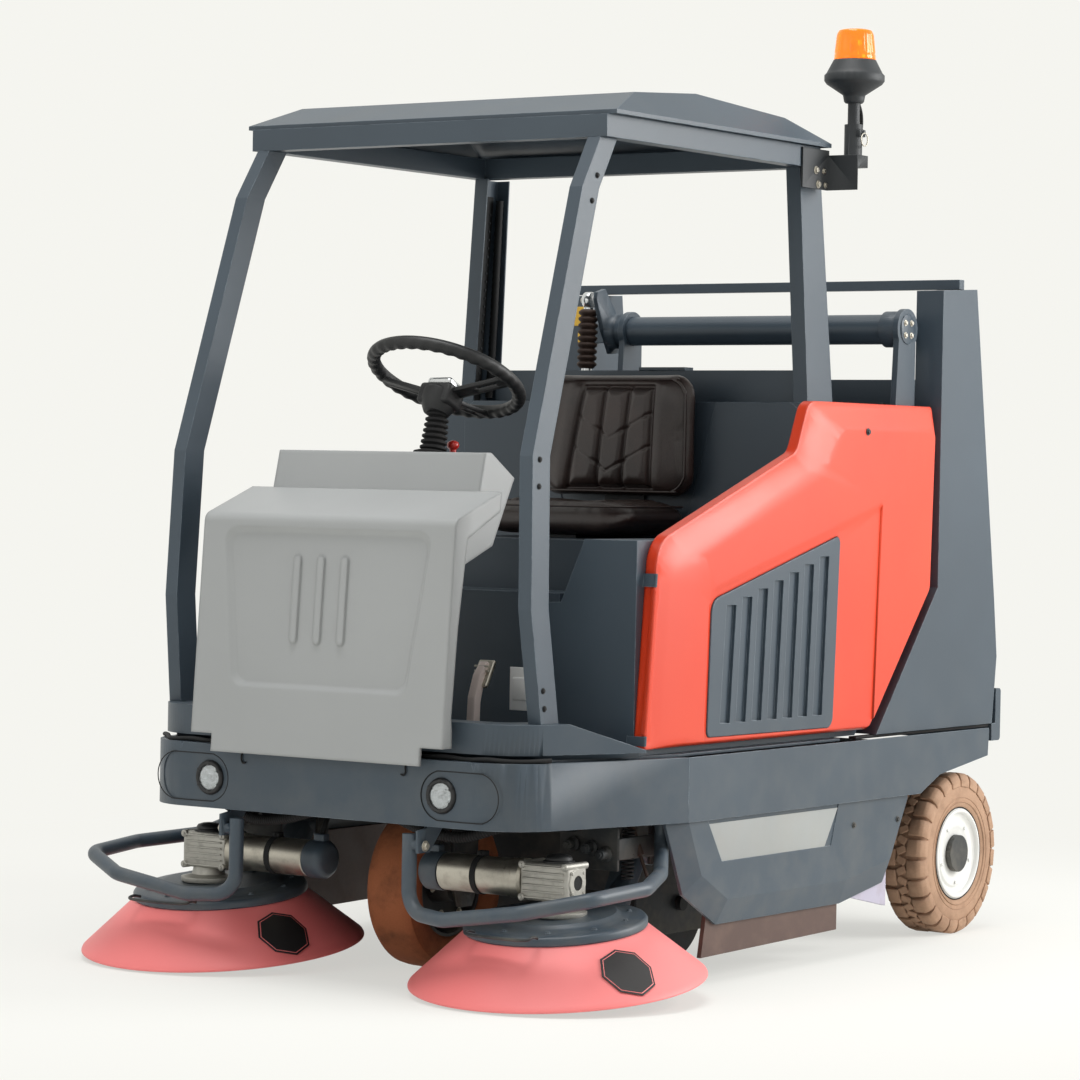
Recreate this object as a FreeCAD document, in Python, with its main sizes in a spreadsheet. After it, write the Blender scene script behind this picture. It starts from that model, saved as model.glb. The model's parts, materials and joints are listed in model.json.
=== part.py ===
import FreeCAD, Part
import math
import os
import re
import Sketcher
from FreeCAD import Vector

# Compact ride-on road sweeper with a high-tipping hopper.
# Millimetres, +Z up, -Y front, +X the driver's left.
# Lengths along Y are stations measured from the feet of the front pillars. The last step of every
# piece moves it by half the overall length, so that the origin is under the middle of the machine.

doc = FreeCAD.newDocument("Sweeper")
sheet = doc.addObject("Spreadsheet::Sheet", "sizes")

VALUES = {
    # clearances shared by all pieces
    "seat_gap": 0.3, "pin_gap": 0.5, "wall": 4, "plate": 5,
    # belt, floor and chassis
    "belt_x": 672.5, "belt_low": 389, "belt_high": 539, "belt_wall": 5, "belt_front": -100,
    "belt_corner_x": 575, "belt_corner_y": 60, "belt_radius": 150, "crease_y": 400, "rail_end": 1859,
    "arch_start": 1499, "arch_rise": 43, "arch_long": 101, "tail_rise": 78,
    "floor_thick": 6, "floor_inset": 30, "floor_end": 1136, "frame_x": 310, "frame_wide": 60,
    "frame_low": 430, "frame_high": 490, "frame_front": -60, "frame_rear": 1840, "cross_wide": 60,
    "cross_front_y": -30, "cross_middle_y": 590, "cross_back_y": 1070, "head_reach": 120,
    "head_thick": 16,
    "tow_hole": 14, "tow_plate": 12, "tow_half": 45, "tow_y": -61,
    "tail_y": 1953, "tail_low": 502, "tail_high": 639, "outrigger": 40,
    "sill_low": 556, "sill_high": 625, "sill_inset": 22, "sill_wide": 70, "sill_end": 250,
    "ramp_start": 62,
    "sill_shadow": 18, "riser_front": -50, "riser_back": 40,
    # headlamps in their shallow capsules
    "lamp_x": 334, "lamp_z": 460, "lamp_radius": 40, "capsule_radius": 55.5, "capsule_end": 435,
    "capsule_deep": 2,
    # front wheel and its fork
    "front_y": 340, "front_tyre": 200, "front_wide": 135, "front_rim": 120, "fork_gap": 12,
    "fork_deep": 90,
    "fork_plate": 14, "fork_crown": 16, "kingpin": 32, "head_tube": 60, "head_high": 38, "head_drop": 8,
    # rear wheels
    "rear_y": 1808, "rear_tyre": 210, "rear_out": 625, "rear_wide": 125, "rear_rim": 112,
    "axle_half": 26, "spindle": 20, "cap_radius": 48, "cap_out": 9, "hanger_wide": 40, "axle_gap": 20,
    # side brushes
    "brush_x": 489, "brush_y": 149, "brush_low": 40, "brush_pitch": 6.03, "skirt_reach": 341,
    "skirt_neck": 207, "skirt_high": 118, "skirt_wall": 4, "dish_high": 22, "dome_high": 34,
    "dome_reach": 140,
    "bristle_reach": 320, "bristle_low": 4, "bristle_top": 24,
    "drive_y": 115, "motor_z": 265, "gear_in": 430, "gear_out": 560, "shaft_bore": 17, "shaft_deep": 14,
    "gear_wide": 84, "gear_high": 88, "rib_deep": 4, "motor_in": 134, "motor_radius": 43,
    "strap_wide": 16,
    "clamp_long": 56, "dome_cap": 32, "arm_pivot_y": 470, "arm_pivot_z": 300, "arm_bore": 12,
    "arm_ear": 42,
    "ear_thick": 8, "arm_wide": 60, "arm_thick": 26,
    "guard_radius": 17, "guard_bend": 55, "guard_y": -100, "guard_x": 250, "guard_eye_z": 345,
    "guard_low": 188, "guard_mid": 220, "guard_high": 254, "guard_top": 266, "guard_out": 742,
    "guard_end_x": 600, "guard_end_y": 400,
    # main brush and its housing
    "drum_y": 850, "drum_z": 142, "drum_reach": 138, "drum_half": 350, "drum_shaft": 18, "drum_stub": 30,
    "cheek_gap": 10, "cheek_low": 70, "housing_half": 190, "housing_back": 170, "housing_mouth": 180,
    # side skirts and rubber flaps
    "skirt_out": 662, "skirt_face": 640, "skirt_in": 632, "skirt_front": 352, "skirt_low": 137,
    "skirt_rear": 1490,
    "skirt_bend_y": 432, "skirt_bend_z": 218, "skirt_toe_y": 579, "skirt_heel_y": 1153,
    "skirt_lift_y": 1367,
    "skirt_lift_z": 172, "skirt_bevel": 60, "pale_front": 500, "pale_rear": 1104, "pale_slant": 66,
    "pale_high": 101, "pale_deep": 2, "flap_thick": 11, "flap_low": 62, "flap_top": 260,
    "flap_front": 529, "flap_rear": 1156, "tail_flap_rear": 1400,
    # cab: fairing and pod
    "fairing_half": 362, "fairing_wall": 5, "fairing_low": 526, "fairing_shoulder": 1075,
    "fairing_out": 40,
    "fairing_lean": 41.5, "fairing_tab": 300, "fairing_step": 567, "fairing_round": 25,
    "recess_top": 1050, "recess_low": 680, "recess_half": 300, "recess_foot": 250, "recess_deep": 10,
    "recess_slope": 12, "recess_round": 32, "rib_low": 795, "rib_high": 977, "rib_wide": 20, "rib_out": 6,
    "rib_pitch": 68, "rib_middle": -16, "pod_half": 300, "pod_y": 75.5, "pod_high": 1228, "pod_round": 40,
    "shelf_rise": 65, "cowl_half": 100, "cowl_end": 345, "cowl_high": 1222, "dash_half": 210,
    # steering
    "wheel_y": 351, "wheel_z": 1406, "wheel_radius": 196, "wheel_grip": 15, "wheel_tilt": 25.7,
    "hub_radius": 42, "hub_deep": 50, "hub_stem": 10, "spoke_wide": 34, "spoke_thick": 12,
    "slot_wide": 10, "slot_long": 78,
    "column_y": 300, "column_lean": 11, "column_long": 118, "bellows": 31, "bellows_neck": 24,
    "bellows_pitch": 14,
    "pedal_y": 168, "pedal_in": 204, "pedal_wide": 22, "pedal_thick": 18, "pedal_lean": 24,
    "pedal_knee": 650, "pedal_top": 744,
    # seat
    "seat_y": 1000, "seat_half": 235, "seat_high": 1120, "seat_front": 230, "seat_rear": 100,
    "seat_rail": 8,
    "back_low": 1125, "back_high": 1442, "back_front": 60, "back_thick": 70, "seat_round": 54,
    "riser_half": 60,
    "pedestal_half": 250, "pedestal_front": 480, "pedestal_high": 1024, "step_high": 900,
    "step_deep": 140,
    # hood, bulkhead and side body
    "hood_front": 1140, "hood_rear": 1556, "hood_high": 1370, "hood_half": 612, "hood_slope_z": 925,
    "hood_slope_y": 1262, "hood_slot": 45, "panel_low_x": 188, "panel_high_x": 265, "panel_out_x": 511,
    "panel_low_z": 1083, "panel_out": 3, "board_high": 1452, "board_y": 76, "board_flange": 64,
    "board_end": 60,
    "latch_half": 70, "latch_high": 8, "engine_half": 210, "engine_long": 390, "engine_high": 880,
    "side_front": 256, "side_high": 1035, "side_in": 395, "side_step_z": 887, "side_step_x": 370,
    "side_ledge_x": 406, "side_top_x": 469,
    # red covers and grille
    "cover_in": 612, "cover_rim": 640, "cover_mid": 650, "cover_out": 658, "cover_low": 562,
    "cover_front": 256,
    "cover_rear": 1577, "cover_knee_y": 1561, "cover_knee_z": 904, "cover_toe_y": 1265,
    "cover_lean": 42.5,
    "cover_shoulder": 1032, "cover_kink_y": 905, "cover_kink_z": 1246, "cover_rise_y": 960, "sunk": 5,
    "sunk_slope": 18, "hinge_pin": 2.5, "hinge_knuckle": 4, "far_front": 1150,
    "grille_front": 499, "grille_rear": 1098, "grille_low": 579, "grille_high_front": 896,
    "grille_high_rear": 1045,
    "grille_thick": 12, "grille_lip": 8, "slot_count": 7, "slot_y": 553, "slot_pitch": 71,
    "slot_size": 44,
    "slot_lean": 21, "slot_low": 610, "slot_high": 884, "slot_rise": 18.3, "slot_deep": 8,
    # canopy
    "post_x": 520.5, "post_y": -7, "post_toe_x": 511, "post_toe_y": -40, "post_toe": 880,
    "post_bend_x": 500, "post_bend_y": -29, "post_bend": 1222, "post_bow_x": 486.5, "post_bow_y": 168,
    "post_bow": 1833, "post_top_x": 482.5, "post_top_y": 244, "post_wide": 35, "post_deep": 68,
    "roof_half": 537, "roof_low": 2004, "roof_high": 2093, "roof_front": 253, "roof_rear": 1221,
    "roof_fold": 700,
    "roof_flat": 465, "roof_edge": 10, "roof_shoulder": 2068, "roof_slope": 146,
    "ring_low": 1952, "ring_wide": 40, "ring_set": 20, "rear_post_x": 529, "rear_post_top_x": 494,
    "rear_post_y": 1142,
    "rear_post_deep": 122, "rear_post_top": 100, "rear_post_wide": 40,
    "beacon_x": 575, "beacon_y": 1262, "beacon_low": 2224, "lens_high": 76, "lens_radius": 52,
    "lens_top": 42, "beacon_pole": 15, "clamp_high": 2064, "cup_low": 2117, "cup_neck": 25,
    "beacon_dish": 75, "dish_low": 2172, "dish_top": 2186, "bracket_low": 1900, "bracket_wide": 66,
    # hopper
    "hinge_y": 1500, "hinge_z": 1565, "tube_radius": 38, "tube_right": -290, "collar_radius": 46,
    "column_in": 580, "column_out": 658, "column_high": 1668, "column_rise": 11, "column_top": 1776,
    "column_front": 1595, "column_rear": 1905, "column_bulge": 20, "rear_knee_z": 872, "belly_z": 724,
    "hopper_low": 548, "hopper_toe": 1291, "knee_z": 909, "tub_high": 1440, "tub_wall": 5,
    "tub_rear": 1825,
    "mast_wide": 130, "mast_in": 20, "arm_in": 535, "arm_lap": 50, "tube_end": 610, "upright_in": 592, "upright_thick": 16, "upright_half": 42,
    "bar_high": 25, "bar_y": 1688, "crank_thick": 12,
    "lift_x": -335, "crank_reach": 95.5, "crank_turn": 120.9, "lift_foot_y": 1420, "lift_foot_z": 840,
    "barrel_radius": 30, "barrel_high": 440, "rod_radius": 14, "lift_pin": 12, "gaiter_radius": 27,
    "gaiter_neck": 20, "gaiter_pitch": 26, "rod_eye": 22, "eye_half": 11, "pin_end": 5, "foot_y": 1165,
    "foot_long": 60,
}
MID = "((rear_y + rear_tyre + brush_y - skirt_reach * cos(brush_pitch * 1 deg)) / 2)"
WORDS = {"mid": MID, "deck": "(belt_high + floor_thick)",
         "pin_y": "(hinge_y + crank_reach * cos(crank_turn * 1 deg))",
         "pin_z": "(hinge_z + crank_reach * sin(crank_turn * 1 deg))",
         "lift_reach": "sqrt((pin_y - lift_foot_y) ^ 2 + (pin_z - lift_foot_z) ^ 2)",
         "lift_tilt": "(-atan((pin_y - lift_foot_y) / (pin_z - lift_foot_z)) / 1 deg)",
         "lean_angle": "(atan(fairing_lean / (fairing_shoulder - fairing_low)) / 1 deg)",
         "fairing_y": "(belt_front - fairing_out)",
         "column_top_z": "(cowl_high + column_long * cos(column_lean * 1 deg))"}

for row, (alias, value) in enumerate(VALUES.items(), 1):
    sheet.set("A%d" % row, alias)
    sheet.set("B%d" % row, str(value))
    sheet.setAlias("B%d" % row, alias)
doc.recompute()

origin_y = {}       # each piece's own station before the shift
kept = []
SIDES = (("left", 1), ("right", -1))


def full(text):
    """Turn the short names in an expression into cells of the sheet."""
    def swap(match):
        word = match.group(0)
        if word in WORDS:
            return full(WORDS[word])
        return "sizes." + word if word in VALUES else word
    return re.sub(r"[a-z][a-z_0-9]*", swap, str(text))


def number(text):
    result = sheet.evalExpression(full(text))
    return float(getattr(result, "Value", result))


def tie(obj, prop, text):
    obj.setExpression(prop, full(text))


def locate(obj, x, y, z):
    tie(obj, "Placement.Base.x", x)
    tie(obj, "Placement.Base.y", y)
    tie(obj, "Placement.Base.z", z)
    origin_y[obj.Name] = y
    return obj


def keep(obj, label):
    """Name a finished piece and shift it so that the origin is under the middle of the machine."""
    tie(obj, "Placement.Base.y", "%s - mid" % origin_y.get(obj.Name, "0"))
    obj.Label = label
    kept.append(obj)
    return obj


def span(sign, low, high):
    """The two ends of a stretch along X, for the left side or mirrored to the right."""
    return (low, high) if sign > 0 else ("-(%s)" % high, "-(%s)" % low)


def at_side(sign, text):
    return text if sign > 0 else "-(%s)" % text


def box(name, xs, ys, zs):
    block = doc.addObject("Part::Box", name)
    tie(block, "Length", "(%s) - (%s)" % (xs[1], xs[0]))
    tie(block, "Width", "(%s) - (%s)" % (ys[1], ys[0]))
    tie(block, "Height", "(%s) - (%s)" % (zs[1], zs[0]))
    return locate(block, xs[0], ys[0], zs[0])


TURNS = {"X": FreeCAD.Rotation(Vector(0, 1, 0), 90), "Y": FreeCAD.Rotation(Vector(1, 0, 0), -90),
         "Z": FreeCAD.Rotation()}


def round_bar(name, axis, ends, centre, radius):
    """A cylinder along a row axis from ends[0] to ends[1], centred on the two other coordinates."""
    bar = doc.addObject("Part::Cylinder", name)
    tie(bar, "Radius", radius)
    tie(bar, "Height", "(%s) - (%s)" % (ends[1], ends[0]))
    bar.Placement = FreeCAD.Placement(Vector(), TURNS[axis])
    spot = {"X": (ends[0], centre[0], centre[1]), "Y": (centre[0], ends[0], centre[1]),
            "Z": (centre[0], centre[1], ends[0])}[axis]
    return locate(bar, *spot)


def fuse(name, *parts):
    joined = doc.addObject("Part::MultiFuse", name)
    joined.Shapes = list(parts)
    joined.Refine = True
    return joined


def common(name, *parts):
    shared = doc.addObject("Part::MultiCommon", name)
    shared.Shapes = list(parts)
    shared.Refine = True
    return shared


def cut(name, base, *tools):
    tool = tools[0] if len(tools) == 1 else fuse(name + "_tools", *tools)
    rest = doc.addObject("Part::Cut", name)
    rest.Base = base
    rest.Tool = tool
    rest.Refine = True
    return rest


def group(name, *parts):
    """Like pieces that don't touch, kept as one node."""
    bundle = doc.addObject("Part::Compound", name)
    bundle.Links = list(parts)
    return bundle


def plane_of(body, role):
    return [feature for feature in body.Origin.OriginFeatures if feature.Role == role][0]


def outline(body, role, points, offset="0"):
    """A closed sketch through points whose coordinates are expressions."""
    sketch = body.newObject("Sketcher::SketchObject", body.Name + "_sketch")
    sketch.AttachmentSupport = [(plane_of(body, role), "")]
    sketch.MapMode = "FlatFace"
    tie(sketch, "AttachmentOffset.Base.z", offset)
    spots = [Vector(number(u), number(v), 0) for u, v in points]
    for start, end in zip(spots, spots[1:] + spots[:1]):
        sketch.addGeometry(Part.LineSegment(start, end), False)
    count = len(points)
    for index in range(count):
        after = (index + 1) % count
        sketch.addConstraint(Sketcher.Constraint("Coincident", index, 2, after, 1))
    for index, (u, v) in enumerate(points):
        for kind, text in (("DistanceX", u), ("DistanceY", v)):
            if str(text) == "0":
                line = -2 if kind == "DistanceX" else -1
                sketch.addConstraint(Sketcher.Constraint("PointOnObject", index, 1, line))
                continue
            at = sketch.addConstraint(Sketcher.Constraint(kind, -1, 1, index, 1, number(text)))
            sketch.setExpression("Constraints[%d]" % at, full(text))
    return sketch


def pad(name, role, points, low, high):
    """Pad an outline between two values along the plane's own row axis."""
    body = doc.addObject("PartDesign::Body", name)
    start = "-(%s)" % high if role == "XZ_Plane" else low
    sketch = outline(body, role, points, start)
    feature = body.newObject("PartDesign::Pad", name + "_pad")
    feature.Profile = sketch
    tie(feature, "Length", "(%s) - (%s)" % (high, low))
    body.Tip = feature
    return body


def find_edges(feature, test):
    return ["Edge%d" % (i + 1) for i, edge in enumerate(feature.Shape.Edges) if test(edge)]


def find_faces(feature, test):
    return ["Face%d" % (i + 1) for i, face in enumerate(feature.Shape.Faces) if test(face)]


def along(edge, axis, spots, slack=0.5):
    """True for an edge parallel to an axis through one of the given points of the outline."""
    if len(edge.Vertexes) != 2:
        return False
    a, b = edge.Vertexes[0].Point, edge.Vertexes[1].Point
    flat = {"X": (1, 2), "Y": (0, 2), "Z": (0, 1)}[axis]
    if (abs(a[flat[0]] - b[flat[0]]) > slack) or (abs(a[flat[1]] - b[flat[1]]) > slack):
        return False
    return any(abs(a[flat[0]] - u) < slack and abs(a[flat[1]] - v) < slack for u, v in spots)


def round_corners(body, axis, corners, radius):
    """Fillet the edges along an axis at corners of the outline."""
    doc.recompute()
    base = body.Tip
    spots = [(number(u), number(v)) for u, v in corners]
    fillet = body.newObject("PartDesign::Fillet", body.Name + "_round")
    fillet.Base = (base, find_edges(base, lambda edge: along(edge, axis, spots)))
    tie(fillet, "Radius", radius)
    body.Tip = fillet
    return body


def hollow(body, thick, open_side):
    """Leave a wall all round, open where open_side(face) is true."""
    doc.recompute()
    base = body.Tip
    shell = body.newObject("PartDesign::Thickness", body.Name + "_wall")
    shell.Base = (base, find_faces(base, open_side))
    tie(shell, "Value", thick)
    shell.Reversed = True
    shell.Mode = 0
    shell.Join = 1
    body.Tip = shell
    return body


def faces_at(axis, text):
    """A test for the flat faces that lie at a value of a row axis."""
    index = "XYZ".index(axis)
    level = number(text)

    def test(face):
        low = (face.BoundBox.XMin, face.BoundBox.YMin, face.BoundBox.ZMin)[index]
        high = (face.BoundBox.XMax, face.BoundBox.YMax, face.BoundBox.ZMax)[index]
        return abs(low - level) < 0.5 and abs(high - level) < 0.5
    return test


def revolved(name, points, turn=None):
    """Revolve a half section given as radius and height about the body's own Z axis."""
    body = doc.addObject("PartDesign::Body", name)
    sketch = outline(body, "XZ_Plane", points)
    feature = body.newObject("PartDesign::Revolution", name + "_turned")
    feature.Profile = sketch
    feature.ReferenceAxis = (sketch, ["V_Axis"])
    feature.Angle = 360
    body.Tip = feature
    if turn:
        body.Placement = FreeCAD.Placement(Vector(), TURNS[turn])
    return body


def leaned(obj, angle):
    """Tilt a placed piece about the X axis, top towards the front for a positive angle."""
    obj.Placement = FreeCAD.Placement(obj.Placement.Base, FreeCAD.Rotation(Vector(1, 0, 0), 1))
    tie(obj, "Placement.Rotation.Angle", angle)
    return obj


def rounded_path(spots, radii, closed):
    """Straight runs between points, joined by tangent arcs at the corners."""
    count = len(spots)
    corners = range(count) if closed else range(1, count - 1)
    edges, start = [], None if closed else spots[0]
    first = None
    for index in corners:
        corner = spots[index]
        back = (spots[index - 1] - corner).normalize()
        ahead = (spots[(index + 1) % count] - corner).normalize()
        half = back.getAngle(ahead) / 2
        size = radii[index]
        leg = size / math.tan(half)
        enter, leave = corner + back * leg, corner + ahead * leg
        top = corner + (back + ahead).normalize() * (size / math.sin(half) - size)
        if start:
            edges.append(Part.LineSegment(start, enter).toShape())
        else:
            first = enter
        edges.append(Part.Arc(enter, top, leave).toShape())
        start = leave
    edges.append(Part.LineSegment(start, first if closed else spots[-1]).toShape())
    return Part.Wire(edges)


def bent_tube(name, points, radius, bend):
    """A round bar along straight runs joined by tangent arcs."""
    spots = [Vector(*[number(value) for value in point]) for point in points]
    path = rounded_path(spots, [number(bend)] * len(spots), False)
    ring = Part.Wire([Part.makeCircle(number(radius), spots[0], spots[1] - spots[0])])
    feature = doc.addObject("Part::Feature", name)
    feature.Shape = path.makePipeShell([ring], True, False)
    return feature


def inset(points, distances):
    """Move each side of a closed outline inwards by its own distance; side n runs from point n to n + 1."""
    spots = [Vector(number(u), number(v), 0) for u, v in points]
    count = len(spots)
    area = sum(a.x * b.y - b.x * a.y for a, b in zip(spots, spots[1:] + spots[:1]))
    lines = []
    for index, distance in enumerate(distances):
        start, end = spots[index], spots[(index + 1) % count]
        run = (end - start).normalize()
        inward = Vector(-run.y, run.x, 0) * (1 if area > 0 else -1)
        lines.append((start + inward * number(distance), run))
    moved = []
    for index in range(count):
        (a, run_a), (b, run_b) = lines[index - 1], lines[index]
        cross = run_a.x * run_b.y - run_a.y * run_b.x
        share = ((b.x - a.x) * run_b.y - (b.y - a.y) * run_b.x) / cross
        moved.append((a.x + run_a.x * share, a.y + run_a.y * share))
    return moved


def lofted(name, axis, levels, radii):
    """A solid through rounded outlines, each one flat and square to an axis at its own level."""
    rings = []
    for level, points in levels:
        spots = []
        for u, v in points:
            trio = {"X": (level, u, v), "Y": (u, level, v), "Z": (u, v, level)}[axis]
            spots.append(Vector(*[number(value) for value in trio]))
        rings.append(rounded_path(spots, [number(radius) for radius in radii], True))
    feature = doc.addObject("Part::Feature", name)
    feature.Shape = Part.makeLoft(rings, True, True)
    return feature


def post(name, points, wide, deeps):
    """A rectangular post through points, mitred where it bends; wide is along X, the depths along Y."""
    half = number(wide) / 2
    rings = []
    for point, deep in zip(points, deeps):
        spot = Vector(*[number(value) for value in point])
        back = spot.y + number(deep)
        corners = [Vector(spot.x - half, spot.y, spot.z), Vector(spot.x + half, spot.y, spot.z),
                   Vector(spot.x + half, back, spot.z), Vector(spot.x - half, back, spot.z)]
        rings.append(Part.makePolygon(corners + corners[:1]))
    feature = doc.addObject("Part::Feature", name)
    feature.Shape = Part.makeLoft(rings, True, True)
    return feature


# chassis: two rails with cross members and the steering head above the front wheel

def build_chassis():
    parts = []
    for side, sign in SIDES:
        xs = span(sign, "frame_x - frame_wide / 2", "frame_x + frame_wide / 2")
        parts.append(box("rail_" + side, xs, ("frame_front", "frame_rear"), ("frame_low", "frame_high")))
    crosses = ("cross_front_y", "cross_middle_y", "cross_back_y", "frame_rear - cross_wide")
    for index, station in enumerate(crosses):
        parts.append(box("cross_%d" % index, ("-frame_x", "frame_x"), (station, station + " + cross_wide"),
                         ("frame_low", "frame_high")))
    parts.append(box("head_plate", ("-frame_x", "frame_x"), ("front_y - head_reach",
                                                             "front_y + head_reach"),
                     ("frame_high - head_thick", "frame_high")))
    parts.append(round_bar("head_tube_outer", "Z", ("frame_low + head_drop", "frame_high + head_high / 2"),
                           ("0", "front_y"), "head_tube"))
    bore = round_bar("head_bore", "Z", ("frame_low", "frame_high + head_high"), ("0", "front_y"),
                     "kingpin + pin_gap")
    keep(cut("chassis", fuse("frame_joined", *parts), bore), "chassis_frame")
    eye = box("tow_flat", ("-tow_half", "tow_half"), ("belt_front + belt_wall + plate",
                                                      "cross_front_y + cross_wide"),
              ("frame_low - tow_plate - seat_gap", "frame_low - seat_gap"))
    hole = round_bar("tow_bore", "Z", ("frame_low - tow_plate * 2", "frame_low + plate"), ("0", "tow_y"),
                     "tow_hole")
    keep(cut("tow", eye, hole), "tow_plate")
    build_brackets()


def build_brackets():
    """Outriggers that carry the belt, risers under the cab floor and the pivots of the brush arms."""
    pieces = []
    stations = ("guard_end_y", "arm_pivot_y", "cross_middle_y + outrigger / 2",
                "cross_back_y + outrigger / 2")
    rail = "frame_x + frame_wide / 2 + seat_gap"
    for side, sign in SIDES:
        for index, station in enumerate(stations):
            ys = (station + " - outrigger / 2", station + " + outrigger / 2")
            end = "belt_x - belt_wall - seat_gap" if index else "guard_end_x + guard_radius + plate"
            pieces.append(box("outrigger_%s%d" % (side, index), span(sign, rail, end), ys,
                              ("frame_high - outrigger", "frame_high")))
        pieces.append(box("riser_" + side, span(sign, "frame_x - frame_wide / 2",
                                                "frame_x + frame_wide / 2"),
                          ("riser_front", "riser_back"),
                          ("frame_high + seat_gap", "belt_high - belt_wall - seat_gap")))
        low, high = "brush_x - arm_ear - ear_thick", "brush_x + arm_ear + ear_thick"
        ys = ("arm_pivot_y - outrigger / 2", "arm_pivot_y + outrigger / 2")
        top = "frame_high - outrigger - seat_gap"
        yoke = box("yoke_" + side, span(sign, low, high), ys, ("arm_pivot_z - outrigger / 2", top))
        gap = box("yoke_gap_" + side, span(sign, "brush_x - arm_ear", "brush_x + arm_ear"),
                  ("arm_pivot_y - outrigger", "arm_pivot_y + outrigger"),
                  ("arm_pivot_z - outrigger", top + " - ear_thick"))
        pin = round_bar("arm_pin_" + side, "X", span(sign, low, high), ("arm_pivot_y", "arm_pivot_z"),
                        "arm_bore")
        pieces.append(fuse("arm_yoke_" + side, cut("yoke_cut_" + side, yoke, gap), pin))
    keep(group("brackets", *pieces), "frame_brackets")


def belt_plan(shift):
    """Plan of the belt's front part, moved inwards: its side, its front and the corner between them."""
    side = "belt_x - (%s)" % shift
    front = "belt_front + (%s)" % shift
    slope = "(belt_x - belt_corner_x) / (crease_y - belt_corner_y)"
    corner = "belt_corner_x - (%s) - (belt_corner_y - belt_front) * %s" % (shift, slope)
    return side, front, corner


def belt_block(name, shift, end, low, high, more=()):
    """A solid with the belt's plan, from the front to a station."""
    side, front, corner = belt_plan(shift)
    points = [(side, end), (corner, front), ("-(%s)" % corner, front), ("-(%s)" % side, end), *more]
    body = pad(name, "XY_Plane", points, low, high)
    return round_corners(body, "Z", [(corner, front), ("-(%s)" % corner, front)],
                         "belt_radius - (%s)" % shift)


def capsule(name, sign, radius):
    """The long rounded patch round a lamp, as a block through the bumper's front."""
    ys = ("belt_front - belt_wall", "belt_corner_y")
    inner = round_bar(name + "_in", "Y", ys, (at_side(sign, "lamp_x"), "lamp_z"), radius)
    outer = round_bar(name + "_out", "Y", ys, (at_side(sign, "capsule_end"), "lamp_z"), radius)
    middle = box(name + "_mid", span(sign, "lamp_x", "capsule_end"), ys,
                 ("lamp_z - (%s)" % radius, "lamp_z + (%s)" % radius))
    return fuse(name, inner, outer, middle)


def build_belt():
    bumper = belt_block("bumper", "0", "crease_y", "belt_low", "belt_high")
    low, back = faces_at("Z", "belt_low"), faces_at("Y", "crease_y")
    hollow(bumper, "belt_wall", lambda face: low(face) or back(face))
    skin = cut("capsule_skin", belt_block("skin_out", "-plate", "crease_y", "belt_low", "belt_high"),
               belt_block("skin_in", "capsule_deep", "crease_y + plate", "belt_low - plate",
                          "belt_high + plate"))
    patches = fuse("patches", *[capsule("capsule_" + side, sign, "capsule_radius") for side, sign in SIDES])
    sockets = [round_bar("lamp_hole_" + side, "Y", ("belt_front - plate", "belt_front + belt_wall * 2"),
                         (at_side(sign, "lamp_x"), "lamp_z"), "lamp_radius + 1") for side, sign in SIDES]
    keep(cut("bumper_cut", bumper, common("capsules", skin, patches), *sockets), "front_bumper")
    rails = []
    for side, sign in SIDES:
        points = [("crease_y + seat_gap", "belt_low"), ("arch_start", "belt_low"),
                  ("arch_start + arch_long", "belt_low + arch_rise"), ("rail_end", "belt_low + tail_rise"),
                  ("rail_end + belt_wall", "belt_high - belt_wall"), ("rail_end", "belt_high"),
                  ("crease_y + seat_gap", "belt_high")]
        rails.append(pad("rail_side_" + side, "YZ_Plane", points,
                         *span(sign, "belt_x - belt_wall", "belt_x")))
    keep(group("rails", *rails), "side_rails")
    tail = pad("tail", "YZ_Plane", [("column_rear", "tail_low"), ("tail_y", "tail_low"),
                                    ("tail_y", "tail_high"),
                                    ("column_rear + column_bulge + seat_gap", "tail_high"),
                                    ("column_rear + column_bulge + seat_gap", "hopper_low"),
                                    ("column_rear", "hopper_low - seat_gap")], "-column_out", "column_out")
    round_corners(tail, "X", [("tail_y", "tail_low"), ("tail_y", "tail_high")], "belt_wall * 2")
    keep(tail, "hopper_bumper")


def build_cab_floor():
    side = belt_plan("floor_inset")[0]
    rest = [("-(%s)" % side, "floor_end"), (side, "floor_end")]
    floor = belt_block("floor", "floor_inset", "crease_y", "belt_high", "deck", rest)
    keep(floor, "floor_deck")
    outer = belt_block("sill_outer", "sill_inset", "sill_end", "deck", "sill_high")
    inner = belt_block("sill_inner", "sill_inset + sill_wide", "sill_end + plate", "belt_high",
                       "sill_high + plate")
    core = belt_block("sill_core", "sill_inset + sill_shadow", "sill_end", "belt_high", "sill_low")
    around = belt_block("sill_around", "0", "sill_end", "belt_high", "sill_low")
    ramp = pad("sill_ramp", "YZ_Plane", [("ramp_start", "sill_high"),
                                         ("sill_end + plate", "sill_low + plate"),
                                         ("sill_end + plate", "sill_high + sill_wide"),
                                         ("ramp_start", "sill_high + sill_wide")], "-belt_x", "belt_x")
    keep(cut("sill", outer, inner, cut("sill_groove", around, core), ramp), "front_sill")


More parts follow.
